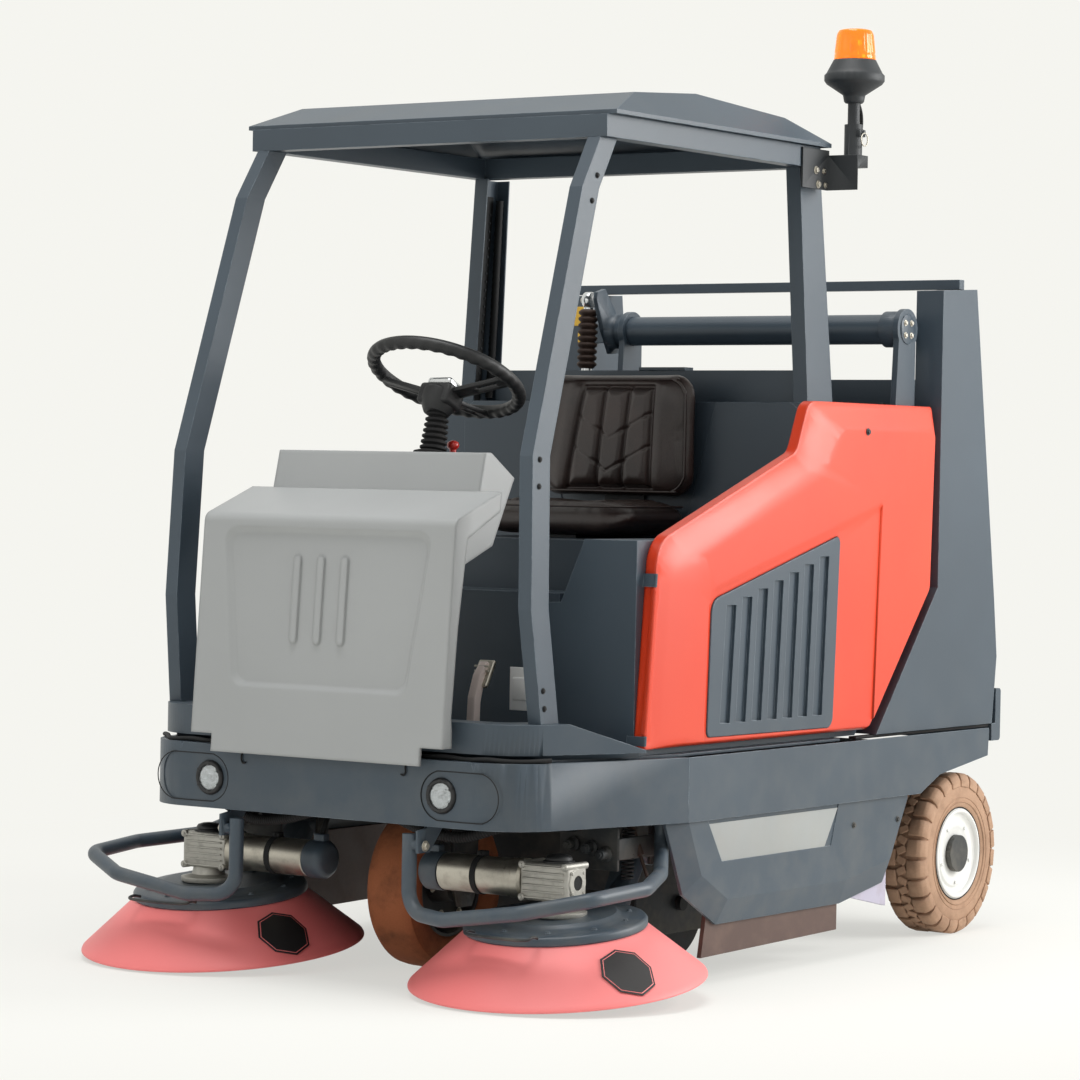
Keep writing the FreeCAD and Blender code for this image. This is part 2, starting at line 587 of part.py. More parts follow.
def fairing_block(name, skin, back):
    """The fairing's bulk between its face and a line behind it, moved inwards by the skin."""
    step = "(%s) * 1.07" % skin
    points = [("fairing_y + (%s)" % skin, "fairing_low - (%s)" % back),
              ("fairing_y + fairing_lean + (%s)" % skin, "fairing_shoulder - (%s)" % step),
              ("pod_y + (%s)" % back, "fairing_shoulder + shelf_rise - (%s) + (%s) * 0.37" % (step, back))]
    if back == "0":
        points += [("pod_y - 3", "fairing_shoulder + 20"), ("fairing_y + 87", "fairing_shoulder - 42"),
                   ("fairing_y + 55", "fairing_shoulder - 246"),
                   ("belt_front - seat_gap - 3.5", "sill_high + 11"),
                   ("belt_front - seat_gap", "sill_high - 20"), ("belt_front - seat_gap", "fairing_low")]
    else:
        points += [("pod_y + (%s)" % back, "fairing_low - (%s)" % back)]
    half = "fairing_half - (%s)" % skin
    block = pad(name, "YZ_Plane", points, "-(%s)" % half, half)
    round_corners(block, "X", [points[1]], "fairing_round - (%s)" % skin)
    return block


def build_fairing():
    """The moulded front: a shell with a sunk field, three ribs and a tab over the bumper."""
    outer = fairing_block("fairing_outer", "0", "0")
    inner = fairing_block("fairing_inner", "fairing_wall", "60")

    def field(name, grow, deep):
        top, low = "recess_top - fairing_low", "recess_low - fairing_low"
        mouth = [("-recess_half", top), ("recess_half", top), ("recess_foot", low), ("-recess_foot", low)]
        mouth = inset(mouth, ["-(%s)" % grow] * 4)
        bottom = inset(mouth, ["recess_slope"] * 4)
        tool = lofted(name, "Z", [("-(%s)" % deep, bottom), ("0", mouth),
                                  ("fairing_wall", inset(mouth, ["0"] * 4))],
                      ["recess_round"] * 4)
        return leaned(locate(tool, "0", "fairing_y", "fairing_low"), "90 - lean_angle")
    corners = [box("tab_%s" % side, span(sign, "fairing_tab", "fairing_half + plate"),
                   ("fairing_y - plate", "belt_front + plate"), ("fairing_low - plate", "fairing_step"))
               for side, sign in SIDES]
    front = cut("fairing_sunk", outer, field("recess", "0", "recess_deep"), *corners)
    room = cut("fairing_room", inner, field("recess_back", "fairing_wall", "recess_deep + fairing_wall"))
    ribs = []
    for index in range(3):
        x = "rib_middle + rib_pitch * %d" % (index - 1)
        bar = box("rib_%d" % index, ("-rib_wide / 2", "rib_wide / 2"),
                  ("rib_low - fairing_low", "rib_high - fairing_low"),
                  ("-recess_deep - 1", "rib_out - recess_deep"))
        ends = [round_bar("rib_end_%d_%d" % (index, turn), "Z",
                          ("-recess_deep - 1", "rib_out - recess_deep"),
                          ("0", level), "rib_wide / 2")
                for turn, level in enumerate(("rib_low - fairing_low", "rib_high - fairing_low"))]
        rib = locate(fuse("rib_bar_%d" % index, bar, *ends), x, "fairing_y", "fairing_low")
        ribs.append(leaned(rib, "90 - lean_angle"))
    keep(fuse("fairing", cut("fairing_shell", front, room), *ribs), "front_fairing")
    build_pod()


def build_pod():
    """The narrower pod behind the fairing's shelf, with the cowl round the steering column."""
    side = [("pod_y + seat_gap", "fairing_shoulder + shelf_rise - 45"),
            ("pod_y + seat_gap", "pod_high - 88"),
            ("pod_y + 22", "pod_high"), ("pod_y + 45", "pod_high"), ("pod_y + 138", "pod_high - 57"),
            ("pod_y + 55", "pod_high - 213"), ("pod_y - 53", "pod_high - 255"),
            ("pod_y - 105", "pod_high - 255"), ("pod_y - 105", "fairing_shoulder - 45")]
    pod = pad("pod", "YZ_Plane", side, "-pod_half", "pod_half")
    cowl = pad("cowl", "YZ_Plane", [("pod_y + 25", "cowl_high"), ("cowl_end", "cowl_high"),
                                    ("cowl_end", "cowl_high - 32"), ("cowl_end - 145", "pod_high - 228"),
                                    ("pod_y + 25", "pod_high - 228")], "-cowl_half", "cowl_half")
    round_corners(cowl, "Z", [("-cowl_half", "cowl_end"), ("cowl_half", "cowl_end")], "pod_round / 2")
    front = "belt_front + sill_inset + sill_wide + seat_gap"
    leg = pad("dash", "YZ_Plane", [(front, "deck + seat_gap"), (front, "pod_high - 230"),
                                   ("pod_y + 40", "pod_high - 230"), ("pod_y", "deck + seat_gap")],
              "-dash_half", "dash_half")
    keep(fuse("dash_joined", pod, cowl, leg), "dash_console")


def build_steering():
    """Corrugated column behind the pod, and the wheel on its own steeper axis."""
    points = [("0", "-bellows"), ("bellows_neck + 8", "-bellows"), ("bellows_neck + 8", "plate")]
    ridges = 7
    for index in range(ridges):
        level = "plate + bellows_pitch * %d" % index
        points += [("bellows_neck", level + " + bellows_pitch * 0.15"),
                   ("bellows", level + " + bellows_pitch * 0.6")]
    points += [("bellows_neck", "column_long - 8"), ("bellows_neck", "column_long"), ("0", "column_long")]
    sleeve = leaned(locate(revolved("sleeve", points), "0", "column_y", "cowl_high"), "-column_lean")
    under = box("sleeve_under", ("-bellows * 2", "bellows * 2"),
                ("column_y - bellows * 2", "column_y + bellows * 2"),
                ("cowl_high - bellows * 2", "cowl_high + seat_gap"))
    keep(cut("column", sleeve, under), "steering_column")
    rim = doc.addObject("Part::Torus", "rim")
    tie(rim, "Radius1", "wheel_radius")
    tie(rim, "Radius2", "wheel_grip")
    drop = "wheel_z - column_top_z - hub_stem * sin(wheel_tilt * 1 deg) + pin_gap * 2"
    stem = "(%s) / cos(wheel_tilt * 1 deg)" % drop
    hub = revolved("hub", [("0", "-" + stem), ("hub_stem", "-" + stem), ("hub_stem", "-hub_deep"),
                           ("hub_radius * 0.6", "-hub_deep"), ("hub_radius", "-hub_deep * 0.4"),
                           ("hub_radius", "0"), ("hub_radius - 8", "8"), ("0", "8")])
    spokes, slots = [], []
    for index, turn in enumerate((30, 150, 270)):
        for store, name, wide, ends, zs in (
                (spokes, "spoke", "spoke_wide", ("0", "wheel_radius"), ("-spoke_thick - 2", "-2")),
                (slots, "slot", "slot_wide", ("hub_radius + 22", "hub_radius + 22 + slot_long"),
                 ("-spoke_thick * 2", "4"))):
            bar = box("%s_%d" % (name, index), ends, ("-(%s) / 2" % wide, "(%s) / 2" % wide), zs)
            bar.Placement = FreeCAD.Placement(Vector(), FreeCAD.Rotation(Vector(0, 0, 1), turn))
            tie(bar, "Placement.Base.x", "(%s) * cos(%d * 1 deg) + (%s) / 2 * sin(%d * 1 deg)" % (ends[0],
                                                                                                  turn,
                                                                                                  wide,
                                                                                                  turn))
            tie(bar, "Placement.Base.y", "(%s) * sin(%d * 1 deg) - (%s) / 2 * cos(%d * 1 deg)" % (ends[0],
                                                                                                  turn,
                                                                                                  wide,
                                                                                                  turn))
            store.append(bar)
    wheel = cut("wheel_cut", fuse("wheel_joined", rim, hub, *spokes), *slots)
    keep(leaned(locate(wheel, "0", "wheel_y", "wheel_z"), "-wheel_tilt"), "steering_wheel")
    build_pedal()


def build_pedal():
    """A curved lever from the floor, with its pad."""
    foot, base = "pedal_y - pedal_thick", "deck + seat_gap"
    arm = pad("pedal_arm", "YZ_Plane", [(foot, base), ("pedal_y", base),
                                        ("pedal_y + pedal_lean", "pedal_knee"),
                                        ("pedal_y + pedal_lean * 2.2", "pedal_top - pedal_thick * 2"),
                                        ("pedal_y + pedal_lean * 1.9", "pedal_top - pedal_thick * 1.4"),
                                        ("pedal_y + pedal_lean / 3", "pedal_knee + pedal_thick / 2")],
              "pedal_in", "pedal_in + pedal_wide")
    sole = pad("pedal_pad", "YZ_Plane", [("pedal_y + pedal_lean * 1.6", "pedal_top - pedal_thick * 1.7"),
                                         ("pedal_y + pedal_lean * 2.4", "pedal_top - pedal_thick * 2.4"),
                                         ("pedal_y + pedal_lean * 3", "pedal_top - plate"),
                                         ("pedal_y + pedal_lean * 2.7", "pedal_top"),
                                         ("pedal_y + pedal_lean * 1.8", "pedal_top - plate")],
               "pedal_in - pedal_wide / 2", "pedal_in + pedal_wide * 1.6")
    keep(fuse("pedal_joined", arm, sole), "pedal")


def build_seat():
    """A stepped pedestal, a flat frame with the riser, and two plain closed pads."""
    base, top = "deck + seat_gap", "pedestal_high"
    front, rear, step = "pedestal_front", "hood_front - seat_gap", "pedestal_front + step_deep"
    stairs = [(front, base), (front, "step_high"), (step, "step_high"), (step, top), (rear, top),
              (rear, base)]
    shell = pad("pedestal", "YZ_Plane", stairs, "-pedestal_half", "pedestal_half")
    inner = [(front + " + wall", base + " - plate"), (front + " + wall", "step_high - wall"),
             (step + " + wall", "step_high - wall"), (step + " + wall", top + " - wall"),
             (rear + " - wall", top + " - wall"), (rear + " - wall", base + " - plate")]
    room = pad("pedestal_room", "YZ_Plane", inner, "-pedestal_half + wall", "pedestal_half - wall")
    keep(cut("pedestal_cut", shell, room), "seat_pedestal")
    low = "pedestal_high + seat_rail + seat_gap"
    cushion = box("cushion", ("-seat_half", "seat_half"), ("seat_y - seat_front", "seat_y + seat_rear"),
                  (low, "seat_high"))
    keep(cushion, "seat_cushion")
    back = pad("back", "XZ_Plane", [("-seat_half", "back_low"), ("seat_half", "back_low"),
                                    ("seat_half", "back_high"),
                                    ("-seat_half", "back_high")], "seat_y + back_front",
               "seat_y + back_front + back_thick")
    round_corners(back, "Y", [("-seat_half", "back_high"), ("seat_half", "back_high")], "seat_round")
    keep(back, "seat_back")
    riser_y = "seat_y + back_front + back_thick + seat_gap"
    iron = pad("seat_iron", "YZ_Plane", [("seat_y - seat_front + seat_round", "pedestal_high"),
                                         (riser_y + " + plate", "pedestal_high"),
                                         (riser_y + " + plate", "back_high - riser_half"),
                                         (riser_y, "back_high - riser_half"),
                                         (riser_y, "pedestal_high + seat_rail"),
                                         ("seat_y - seat_front + seat_round", "pedestal_high + seat_rail")],
               "-riser_half", "riser_half")
    keep(iron, "seat_frame")


def build_hood():
    """The engine hood behind the seat, hollow, with a sloping back that leaves room for the hopper."""
    base = "deck + seat_gap"
    points = [("hood_front", base), ("hood_front", "hood_high"), ("hood_rear", "hood_high"),
              ("hood_rear", "hood_slope_z"), ("hood_slope_y", base)]
    body = pad("hood", "YZ_Plane", points, "-hood_half", "hood_half")
    hollow(body, "wall", faces_at("Z", base))
    xs = ("lift_x - hood_slot", "lift_x + hood_slot")
    slot = box("hood_slot", xs, ("lift_foot_y - hood_slot", "lift_foot_y + hood_slot * 1.5"),
               ("hood_high - hood_slot", "hood_high + plate"))
    slot_low = box("hood_slot_low", xs, ("foot_y + seat_gap", "lift_foot_y + hood_slot * 2.6"),
                   (base + " - plate", "lift_foot_z + barrel_high / 2"))
    panels = []
    for side, sign in SIDES:
        trapezoid = [("panel_low_x", "panel_low_z"), ("panel_high_x", "hood_high"),
                     ("panel_out_x - 30", "hood_high"),
                     ("panel_out_x", "hood_high - 20"), ("panel_out_x", "panel_low_z")]
        trapezoid = [(at_side(sign, u), v) for u, v in trapezoid]
        panels.append(pad("panel_" + side, "XZ_Plane", trapezoid, "hood_front - panel_out",
                          "hood_front + wall / 2"))
    keep(fuse("hood_joined", cut("hood_cut", body, slot, slot_low), *panels), "engine_hood")
    end, front = "rear_post_x - board_end", "hood_front + board_y"
    board = pad("board", "YZ_Plane", [(front, "hood_high + seat_gap"), (front, "board_high"),
                                      (front + " + board_flange", "board_high"),
                                      (front + " + board_flange", "board_high - plate"),
                                      (front + " + plate", "board_high - plate"),
                                      (front + " + plate", "hood_high + seat_gap")],
                "-(%s)" % end, end)
    latch = box("latch", ("rib_middle", "rib_middle + latch_half * 2"),
                (front + " - plate", front + " + latch_half / 2"),
                ("board_high", "board_high + latch_high"))
    keep(fuse("board_joined", board, latch), "bulkhead_board")
    keep(box("engine", ("-engine_half", "engine_half"), ("hood_front - engine_long - 30",
                                                         "hood_front - 30"),
             (base, "engine_high")), "engine_block")


def hinge_lean():
    return "-atan(cover_lean / (cover_shoulder - cover_low)) / 1 deg"


def hinge_rod(name, sign, front, ends, radius, lean):
    """A round piece of a cover's hinge, on the line of its front edge."""
    rod = round_bar(name, "Z", ends, ("0", "0"), radius)
    ground = (at_side(sign, "cover_rim + hinge_knuckle"), front + " - hinge_knuckle", "cover_low")
    whole = locate(group(name + "_set", rod), *ground)
    return leaned(whole, lean)


def hinge_pair(name, sign, front, high, lean, leaf_in):
    """The fixed half with its pin, and the knuckle of the moving half."""
    first, second = "30", "(%s) - cover_low - 40" % high
    pin = hinge_rod(name + "_pin", sign, front, ("8", second + " + 30"), "hinge_pin", lean)
    low = hinge_rod(name + "_low", sign, front, ("8", first), "hinge_knuckle", lean)
    top = hinge_rod(name + "_top", sign, front, (second, second + " + 30"), "hinge_knuckle", lean)
    leaf = box(name + "_leaf", span(sign, leaf_in, "cover_rim + hinge_knuckle"), ("-1", "1"), ("8", first))
    upper = box(name + "_leaf_top", span(sign, leaf_in, "cover_rim + hinge_knuckle"), ("-1", "1"),
                (second, second + " + 30"))
    leaves = locate(fuse(name + "_leaves", leaf, upper), "0", front + " - hinge_knuckle - 2", "cover_low")
    moving = hinge_rod(name + "_knuckle", sign, front, (first + " + 1", second + " - 1"), "hinge_knuckle",
                       lean)
    hole = hinge_rod(name + "_hole", sign, front, ("0", second + " + 40"), "hinge_pin + pin_gap / 2", lean)
    return fuse(name + "_fixed", pin, low, top, leaned(leaves, lean)), moving, hole


def cover_shell(name, sign, points, bands, radii):
    """A moulded cover: a rim, a sloped band and a face, hollow behind."""
    middle, face = inset(points, bands[0]), inset(points, bands[1])
    count = len(points)
    outer = lofted(name + "_outer", "X", [(at_side(sign, x), ring) for x, ring in (
        ("cover_in + seat_gap", points), ("cover_rim", points), ("cover_mid", middle), ("cover_out",
                                                                                        face))], radii)
    thin = [inset(ring, ["wall"] * count) for ring in (points, middle, face)]
    inner = lofted(name + "_inner", "X", [(at_side(sign, x), ring) for x, ring in (
        ("cover_in - plate", thin[0]), ("cover_rim - wall / 2", thin[0]), ("cover_mid - wall", thin[1]),
        ("cover_out - wall - sunk", thin[2]))], radii)
    return cut(name + "_shell", outer, inner)


def build_sides():
    """The stepped side body beside the driver, the two red covers on their hinges, and the grille."""
    stairs = [("cover_in", "deck + seat_gap"), ("side_in", "deck + seat_gap"),
              ("side_step_x", "side_step_z"),
              ("side_ledge_x", "side_step_z + 2"), ("side_top_x", "side_high"), ("cover_in", "side_high")]
    body = pad("side", "XZ_Plane", stairs, "side_front", "hood_front - seat_gap")
    hollow(body, "wall", faces_at("Z", "deck + seat_gap"))
    line = "(cover_front + cover_lean)"
    fixed, knuckle, hole = hinge_pair("hinge_left", 1, "cover_front", "cover_shoulder - 60", hinge_lean(),
                                      "cover_in - 16")
    keep(fuse("side_joined", body, fixed), "side_body")
    points = [("cover_front", "cover_low"), (line, "cover_shoulder"), ("cover_kink_y", "cover_kink_z"),
              ("cover_rise_y", "hood_high"), ("cover_rear", "hood_high"), ("cover_knee_y", "cover_knee_z"),
              ("cover_toe_y", "cover_low")]
    bands = (("56", "57", "66", "38", "5", "5", "6"), ("140", "94", "140", "68", "9", "9", "12"))
    shell = cover_shell("cover_left", 1, points, bands, ["12", "80", "40", "45", "12", "30", "12"])
    grille_line = [("grille_front", "grille_low"), ("grille_front + 12", "grille_high_front"),
                   ("grille_rear", "grille_high_rear"), ("grille_rear - 22", "grille_low - 3")]
    radii = ["14", "40", "14", "26"]
    low = inset(grille_line, ["-6", "-18", "-200", "-60"])
    steep = inset(low, ["-sunk_slope", "-sunk_slope", "0", "0"])
    sunk = lofted("cover_sunk", "X", [("cover_out - sunk", low), ("cover_out + 1", steep)],
                  ["10", "40", "10", "10"])
    hole_line = inset(grille_line, ["-1"] * 4)
    window = lofted("cover_window", "X", [("cover_mid - 30", hole_line), ("cover_out + 5", hole_line)],
                    radii)
    wedge = box("knuckle_leaf", ("cover_rim - 6", "cover_rim + hinge_knuckle"), ("-1", "hinge_knuckle + 2"),
                ("32", "(cover_shoulder - 60) - cover_low - 42"))
    wedge = leaned(locate(group("knuckle_bridge", wedge), "0", "cover_front - hinge_knuckle", "cover_low"),
                   hinge_lean())
    cover = cut("cover_left_cut", fuse("cover_left_joined", cut("cover_opened", shell, sunk, window),
                                       knuckle, wedge), hole)
    keep(cover, "side_cover_left")
    build_grille(grille_line, radii)
    build_far_cover()


def build_grille(line, radii):
    """A thick plate with sloping blind slots, held from behind by a lip."""
    face = "cover_out - sunk + 3.5"
    body = lofted("grille_body", "X", [(face + " - grille_thick", line), (face + " - 1.5", line),
                                       (face, inset(line, ["1.5"] * 4))], radii)
    wide = inset(line, ["-grille_lip", "-grille_lip", "-grille_lip", "1"])
    lip = lofted("grille_lip", "X", [("cover_out - sunk - wall - seat_gap - 3", wide),
                                     ("cover_out - sunk - wall - seat_gap", wide)], radii)
    slots = []
    for index in range(int(number("slot_count"))):
        y, rise = "slot_y + slot_pitch * %d" % index, "slot_high + slot_rise * %d" % index
        points = [(y, "slot_low"), (y + " + slot_size", "slot_low - 2"),
                  (y + " + slot_size + slot_lean", rise), (y + " + slot_lean", rise)]
        slots.append(pad("louvre_%d" % index, "YZ_Plane", points, face + " - slot_deep", face + " + 2"))
    keep(cut("grille", fuse("grille_joined", body, lip), *slots), "side_grille")


def build_far_cover():
    """The short cover on the driver's right."""
    points = [("far_front", "cover_low"), ("far_front", "hood_high"), ("cover_rear", "hood_high"),
              ("cover_knee_y", "cover_knee_z"), ("cover_toe_y", "cover_low")]
    bands = (("18", "38", "5", "5", "6"), ("40", "68", "9", "9", "12"))
    shell = cover_shell("cover_right", -1, points, bands, ["12", "60", "12", "30", "12"])
    fixed, knuckle, hole = hinge_pair("hinge_right", -1, "far_front", "hood_high - 80", "0", "hood_half")
    wedge = box("far_leaf", ("-cover_rim - hinge_knuckle", "-cover_rim + 6"),
                ("far_front - hinge_knuckle - 1", "far_front + 2"), ("cover_low + 32", "hood_high - 122"))
    keep(cut("cover_right_cut", fuse("cover_right_joined", shell, knuckle, wedge), hole),
         "side_cover_right")
    hood = kept[[obj.Label for obj in kept].index("engine_hood")]
    kept.remove(hood)
    tie(hood, "Placement.Base.y", "0")
    hood.Label = "hood_bare"
    keep(fuse("hood_hinged", hood, fixed), "engine_hood")


def channel(name, sign):
    """A rear pillar: a tapered channel, open towards the middle of the cab."""
    def block(label, skin, more):
        x = "rear_post_x - rear_post_wide / 2 - (%s)" % more
        top = "rear_post_top_x - rear_post_wide / 2 - (%s)" % more
        spots = [(at_side(sign, x), "rear_post_y + (%s)" % skin, "hood_high + seat_gap"),
                 (at_side(sign, top), "rear_post_y + (%s)" % skin, "ring_low - seat_gap")]
        return post(label, spots, "rear_post_wide", ("rear_post_deep - (%s) * 2" % skin,
                                                     "rear_post_top - (%s) * 2" % skin))
    return cut(name, block(name + "_outer", "0", "0"), block(name + "_inner", "wall", "wall"))


def build_canopy():
    fronts, backs = [], []
    for side, sign in SIDES:
        spots = [(at_side(sign, "post_x"), "post_y", "sill_high + seat_gap"),
                 (at_side(sign, "post_toe_x"), "post_toe_y", "post_toe"),
                 (at_side(sign, "post_bend_x"), "post_bend_y", "post_bend"),
                 (at_side(sign, "post_bow_x"), "post_bow_y", "post_bow"),
                 (at_side(sign, "post_top_x"), "post_top_y", "ring_low - seat_gap")]
        fronts.append(post("front_post_" + side, spots, "post_wide", ["post_deep"] * len(spots)))
        backs.append(channel("rear_post_" + side, sign))
    keep(group("fronts", *fronts), "front_pillars")
    keep(group("backs", *backs), "rear_pillars")
    half = "roof_half - ring_set"
    outer = box("ring_outer", ("-(%s)" % half, half), ("post_top_y", "roof_rear - ring_set"),
                ("ring_low", "roof_low"))
    inner = box("ring_inner", ("-(%s) + ring_wide" % half, half + " - ring_wide"),
                ("post_top_y + ring_wide", "roof_rear - ring_set - ring_wide"),
                ("ring_low - plate", "roof_low + plate"))
    keep(cut("ring", outer, inner), "roof_frame")

    def pan(name, skin, drop):
        long_line = [("roof_front + (%s)" % skin, "roof_low - (%s)" % drop),
                     ("roof_front + (%s)" % skin, "roof_low + roof_edge"),
                     ("roof_front + roof_slope", "roof_shoulder - (%s)" % skin),
                     ("roof_fold", "roof_high - (%s)" % skin),
                     ("roof_rear - roof_slope", "roof_shoulder - (%s)" % skin),
                     ("roof_rear - (%s)" % skin, "roof_low + roof_edge"),
                     ("roof_rear - (%s)" % skin, "roof_low - (%s)" % drop)]
        half = "roof_half - (%s)" % skin
        cross = [("-(%s)" % half, "roof_low - (%s)" % drop), ("-(%s)" % half, "roof_low + roof_edge"),
                 ("-roof_flat", "roof_high - (%s)" % skin), ("roof_flat", "roof_high - (%s)" % skin),
                 (half, "roof_low + roof_edge"), (half, "roof_low - (%s)" % drop)]
        return common(name, pad(name + "_long", "YZ_Plane", long_line, "-roof_half", "roof_half"),
                      pad(name + "_cross", "XZ_Plane", cross, "roof_front", "roof_rear"))
    solid = pan("roof_solid", "0", "-seat_gap")
    keep(cut("roof", solid, pan("roof_room", "plate", "plate")), "roof_panel")


def build_lamps():
    """The flashing beacon on its stand behind the left rear pillar, and the two headlamps."""
    pole = round_bar("beacon_pole", "Z", ("roof_low - ring_set", "cup_low"), ("beacon_x", "beacon_y"),
                     "beacon_pole")
    cup = revolved("beacon_cup", [("0", "cup_low"), ("cup_neck - 4", "cup_low"),
                                  ("cup_neck", "cup_low + 4"), ("cup_neck + 3", "cup_low + 20"),
                                  ("beacon_dish - 6", "dish_low - 8"), ("beacon_dish", "dish_low"),
                                  ("beacon_dish", "dish_top"), ("beacon_dish - 5", "dish_top + 5"),
                                  ("lens_radius + 5", "beacon_low - 8"), ("lens_radius + 1", "beacon_low"),
                                  ("0", "beacon_low")])
    locate(cup, "beacon_x", "beacon_y", "0")
    wide = ("beacon_x - beacon_pole * 2", "beacon_x + beacon_pole * 2")
    arm = box("beacon_arm", wide, ("roof_rear + plate * 2", "beacon_y + beacon_pole * 1.5"),
              ("ring_low + plate", "ring_low + plate * 7"))
    block = round_bar("beacon_clamp", "Z", ("ring_low + plate", "clamp_high"),
                      ("beacon_x", "beacon_y"), "beacon_pole * 1.5")
    edge = "roof_half - ring_set + seat_gap"
    flat = box("beacon_plate", (edge, edge + " + plate"), ("roof_rear - ring_set - bracket_wide * 1.4",
                                                           "roof_rear + plate * 3"),
               ("bracket_low", "roof_low - plate"))
    strap = box("beacon_strap", (edge, "beacon_x + beacon_pole * 2"),
                ("roof_rear + plate * 2", "roof_rear + plate * 3"),
                ("bracket_low", "ring_low + plate * 7"))
    keep(fuse("beacon_stand", pole, cup, arm, block, flat, strap), "beacon_mount")
    low = "beacon_low + seat_gap"
    points = [("0", low), ("lens_radius - 1", low), ("lens_radius", low + " + 3"),
              ("lens_top + 3", low + " + lens_high - 14"), ("lens_top", low + " + lens_high - 5"),
              ("lens_top - 8", low + " + lens_high"), ("0", low + " + lens_high")]
    keep(locate(revolved("lens", points), "beacon_x", "beacon_y", "0"), "beacon_lens")
    lamps = []
    for side, sign in SIDES:
        lamp = revolved("lamp_" + side, [("0", "-lamp_radius"), ("lamp_radius - 10", "-lamp_radius + 8"),
                                         ("lamp_radius", "-10"), ("lamp_radius", "3"),
                                         ("lamp_radius - 4", "6"),
                                         ("lamp_radius - 8", "3"), ("lamp_radius * 0.5", "5"), ("0", "6")])
        lamp.Placement = FreeCAD.Placement(Vector(), FreeCAD.Rotation(Vector(1, 0, 0), 90))
        lamps.append(locate(lamp, at_side(sign, "lamp_x"), "belt_front", "lamp_z"))
    keep(group("lamps", *lamps), "headlamps")


def tyre_section(radius, rim, half):
    return [(rim, "-(%s) * 0.7" % half), ("(%s) + 14" % rim, "-(%s)" % half),
            ("(%s) - 30" % radius, "-(%s)" % half),
            ("(%s) - 8" % radius, "-(%s) + 10" % half), (radius, "-(%s) + 26" % half),
            (radius, "(%s) - 26" % half),
            ("(%s) - 8" % radius, "(%s) - 10" % half), ("(%s) - 30" % radius, half),
            ("(%s) + 14" % rim, half),
            (rim, "(%s) * 0.7" % half)]


def rim_section(rim, half, bore, inner):
    """A pressed disc with a raised lip, given from its inner side to its outer side."""
    return [(bore, "-(%s)" % inner), ("(%s) + 14" % bore, "-(%s)" % inner),
            ("(%s) + 22" % bore, "(%s) * 0.05" % half),
            ("(%s) - 26" % rim, "(%s) * 0.05" % half), ("(%s) - 10" % rim, "-(%s) * 0.7" % half),
            (rim, "-(%s) * 0.7" % half), (rim, "(%s) * 0.7" % half),
            ("(%s) + 7" % rim, "(%s) * 0.86" % half),
            ("(%s) - 4" % rim, "(%s) * 0.9" % half), ("(%s) - 12" % rim, "(%s) * 0.62" % half),
            ("(%s) - 30" % rim, "(%s) * 0.5" % half), ("(%s) + 34" % bore, "(%s) * 0.5" % half),
            ("(%s) + 26" % bore, "(%s) * 0.7" % half), (bore, "(%s) * 0.7" % half)]


def build_wheels():
    half = "front_wide / 2"
    tyre = revolved("front_tread", tyre_section("front_tyre", "front_rim", half), "X")
    keep(locate(tyre, "0", "front_y", "front_tyre"), "front_tyre")
    bore = "spindle + pin_gap"
    rim = revolved("front_disc", [(bore, "-(%s) * 0.9" % half), (bore + " + 14", "-(%s) * 0.9" % half),
                                  (bore + " + 22", "-plate"), ("front_rim - 16", "-plate"),
                                  ("front_rim - 8", "-(%s) * 0.7" % half),
                                  ("front_rim", "-(%s) * 0.7" % half),
                                  ("front_rim", "(%s) * 0.7" % half),
                                  ("front_rim - 8", "(%s) * 0.7" % half),
                                  ("front_rim - 16", "plate"), (bore + " + 22", "plate"),
                                  (bore + " + 14", "(%s) * 0.9" % half), (bore, "(%s) * 0.9" % half)], "X")
    keep(locate(rim, "0", "front_y", "front_tyre"), "front_rim")
    build_fork()
    for side, sign in SIDES:
        middle, half = "rear_out - rear_wide / 2", "rear_wide / 2"
        tyre = revolved("rear_tread_" + side, tyre_section("rear_tyre", "rear_rim", half), "X")
        section = rim_section("rear_rim", half, bore, half + " * 0.8")
        rim = revolved("rear_disc_" + side, section, "X")
        for obj, label in ((tyre, "rear_tyre_"), (rim, "rear_rim_")):
            if sign < 0:
                obj.Placement = FreeCAD.Placement(Vector(), FreeCAD.Rotation(Vector(0, 1, 0), -90))
            locate(obj, at_side(sign, middle), "rear_y", "rear_tyre")
            keep(obj, label + side)
    end = "rear_out - rear_wide - axle_gap"
    beam = box("axle_beam", ("-(%s)" % end, end), ("rear_y - axle_half", "rear_y + axle_half"),
               ("rear_tyre - axle_half", "rear_tyre + axle_half"))
    tip = "rear_out - rear_wide * 0.14"
    spindle = round_bar("axle_spindle", "X", ("-(%s)" % tip, tip), ("rear_y", "rear_tyre"), "spindle")
    hangers = [box("axle_hanger_" + side, span(sign, "frame_x - hanger_wide / 2",
                                               "frame_x + hanger_wide / 2"),
                   ("rear_y - axle_half - 4", "rear_y + axle_half + 4"),
                   ("rear_tyre", "frame_low - seat_gap"))
               for side, sign in SIDES]
    caps = [round_bar("axle_cap_" + side, "X", span(sign, tip, "rear_out + cap_out - rear_wide * 0.1"),
                      ("rear_y", "rear_tyre"), "cap_radius") for side, sign in SIDES]
    keep(fuse("axle", beam, spindle, *hangers, *caps), "rear_axle")


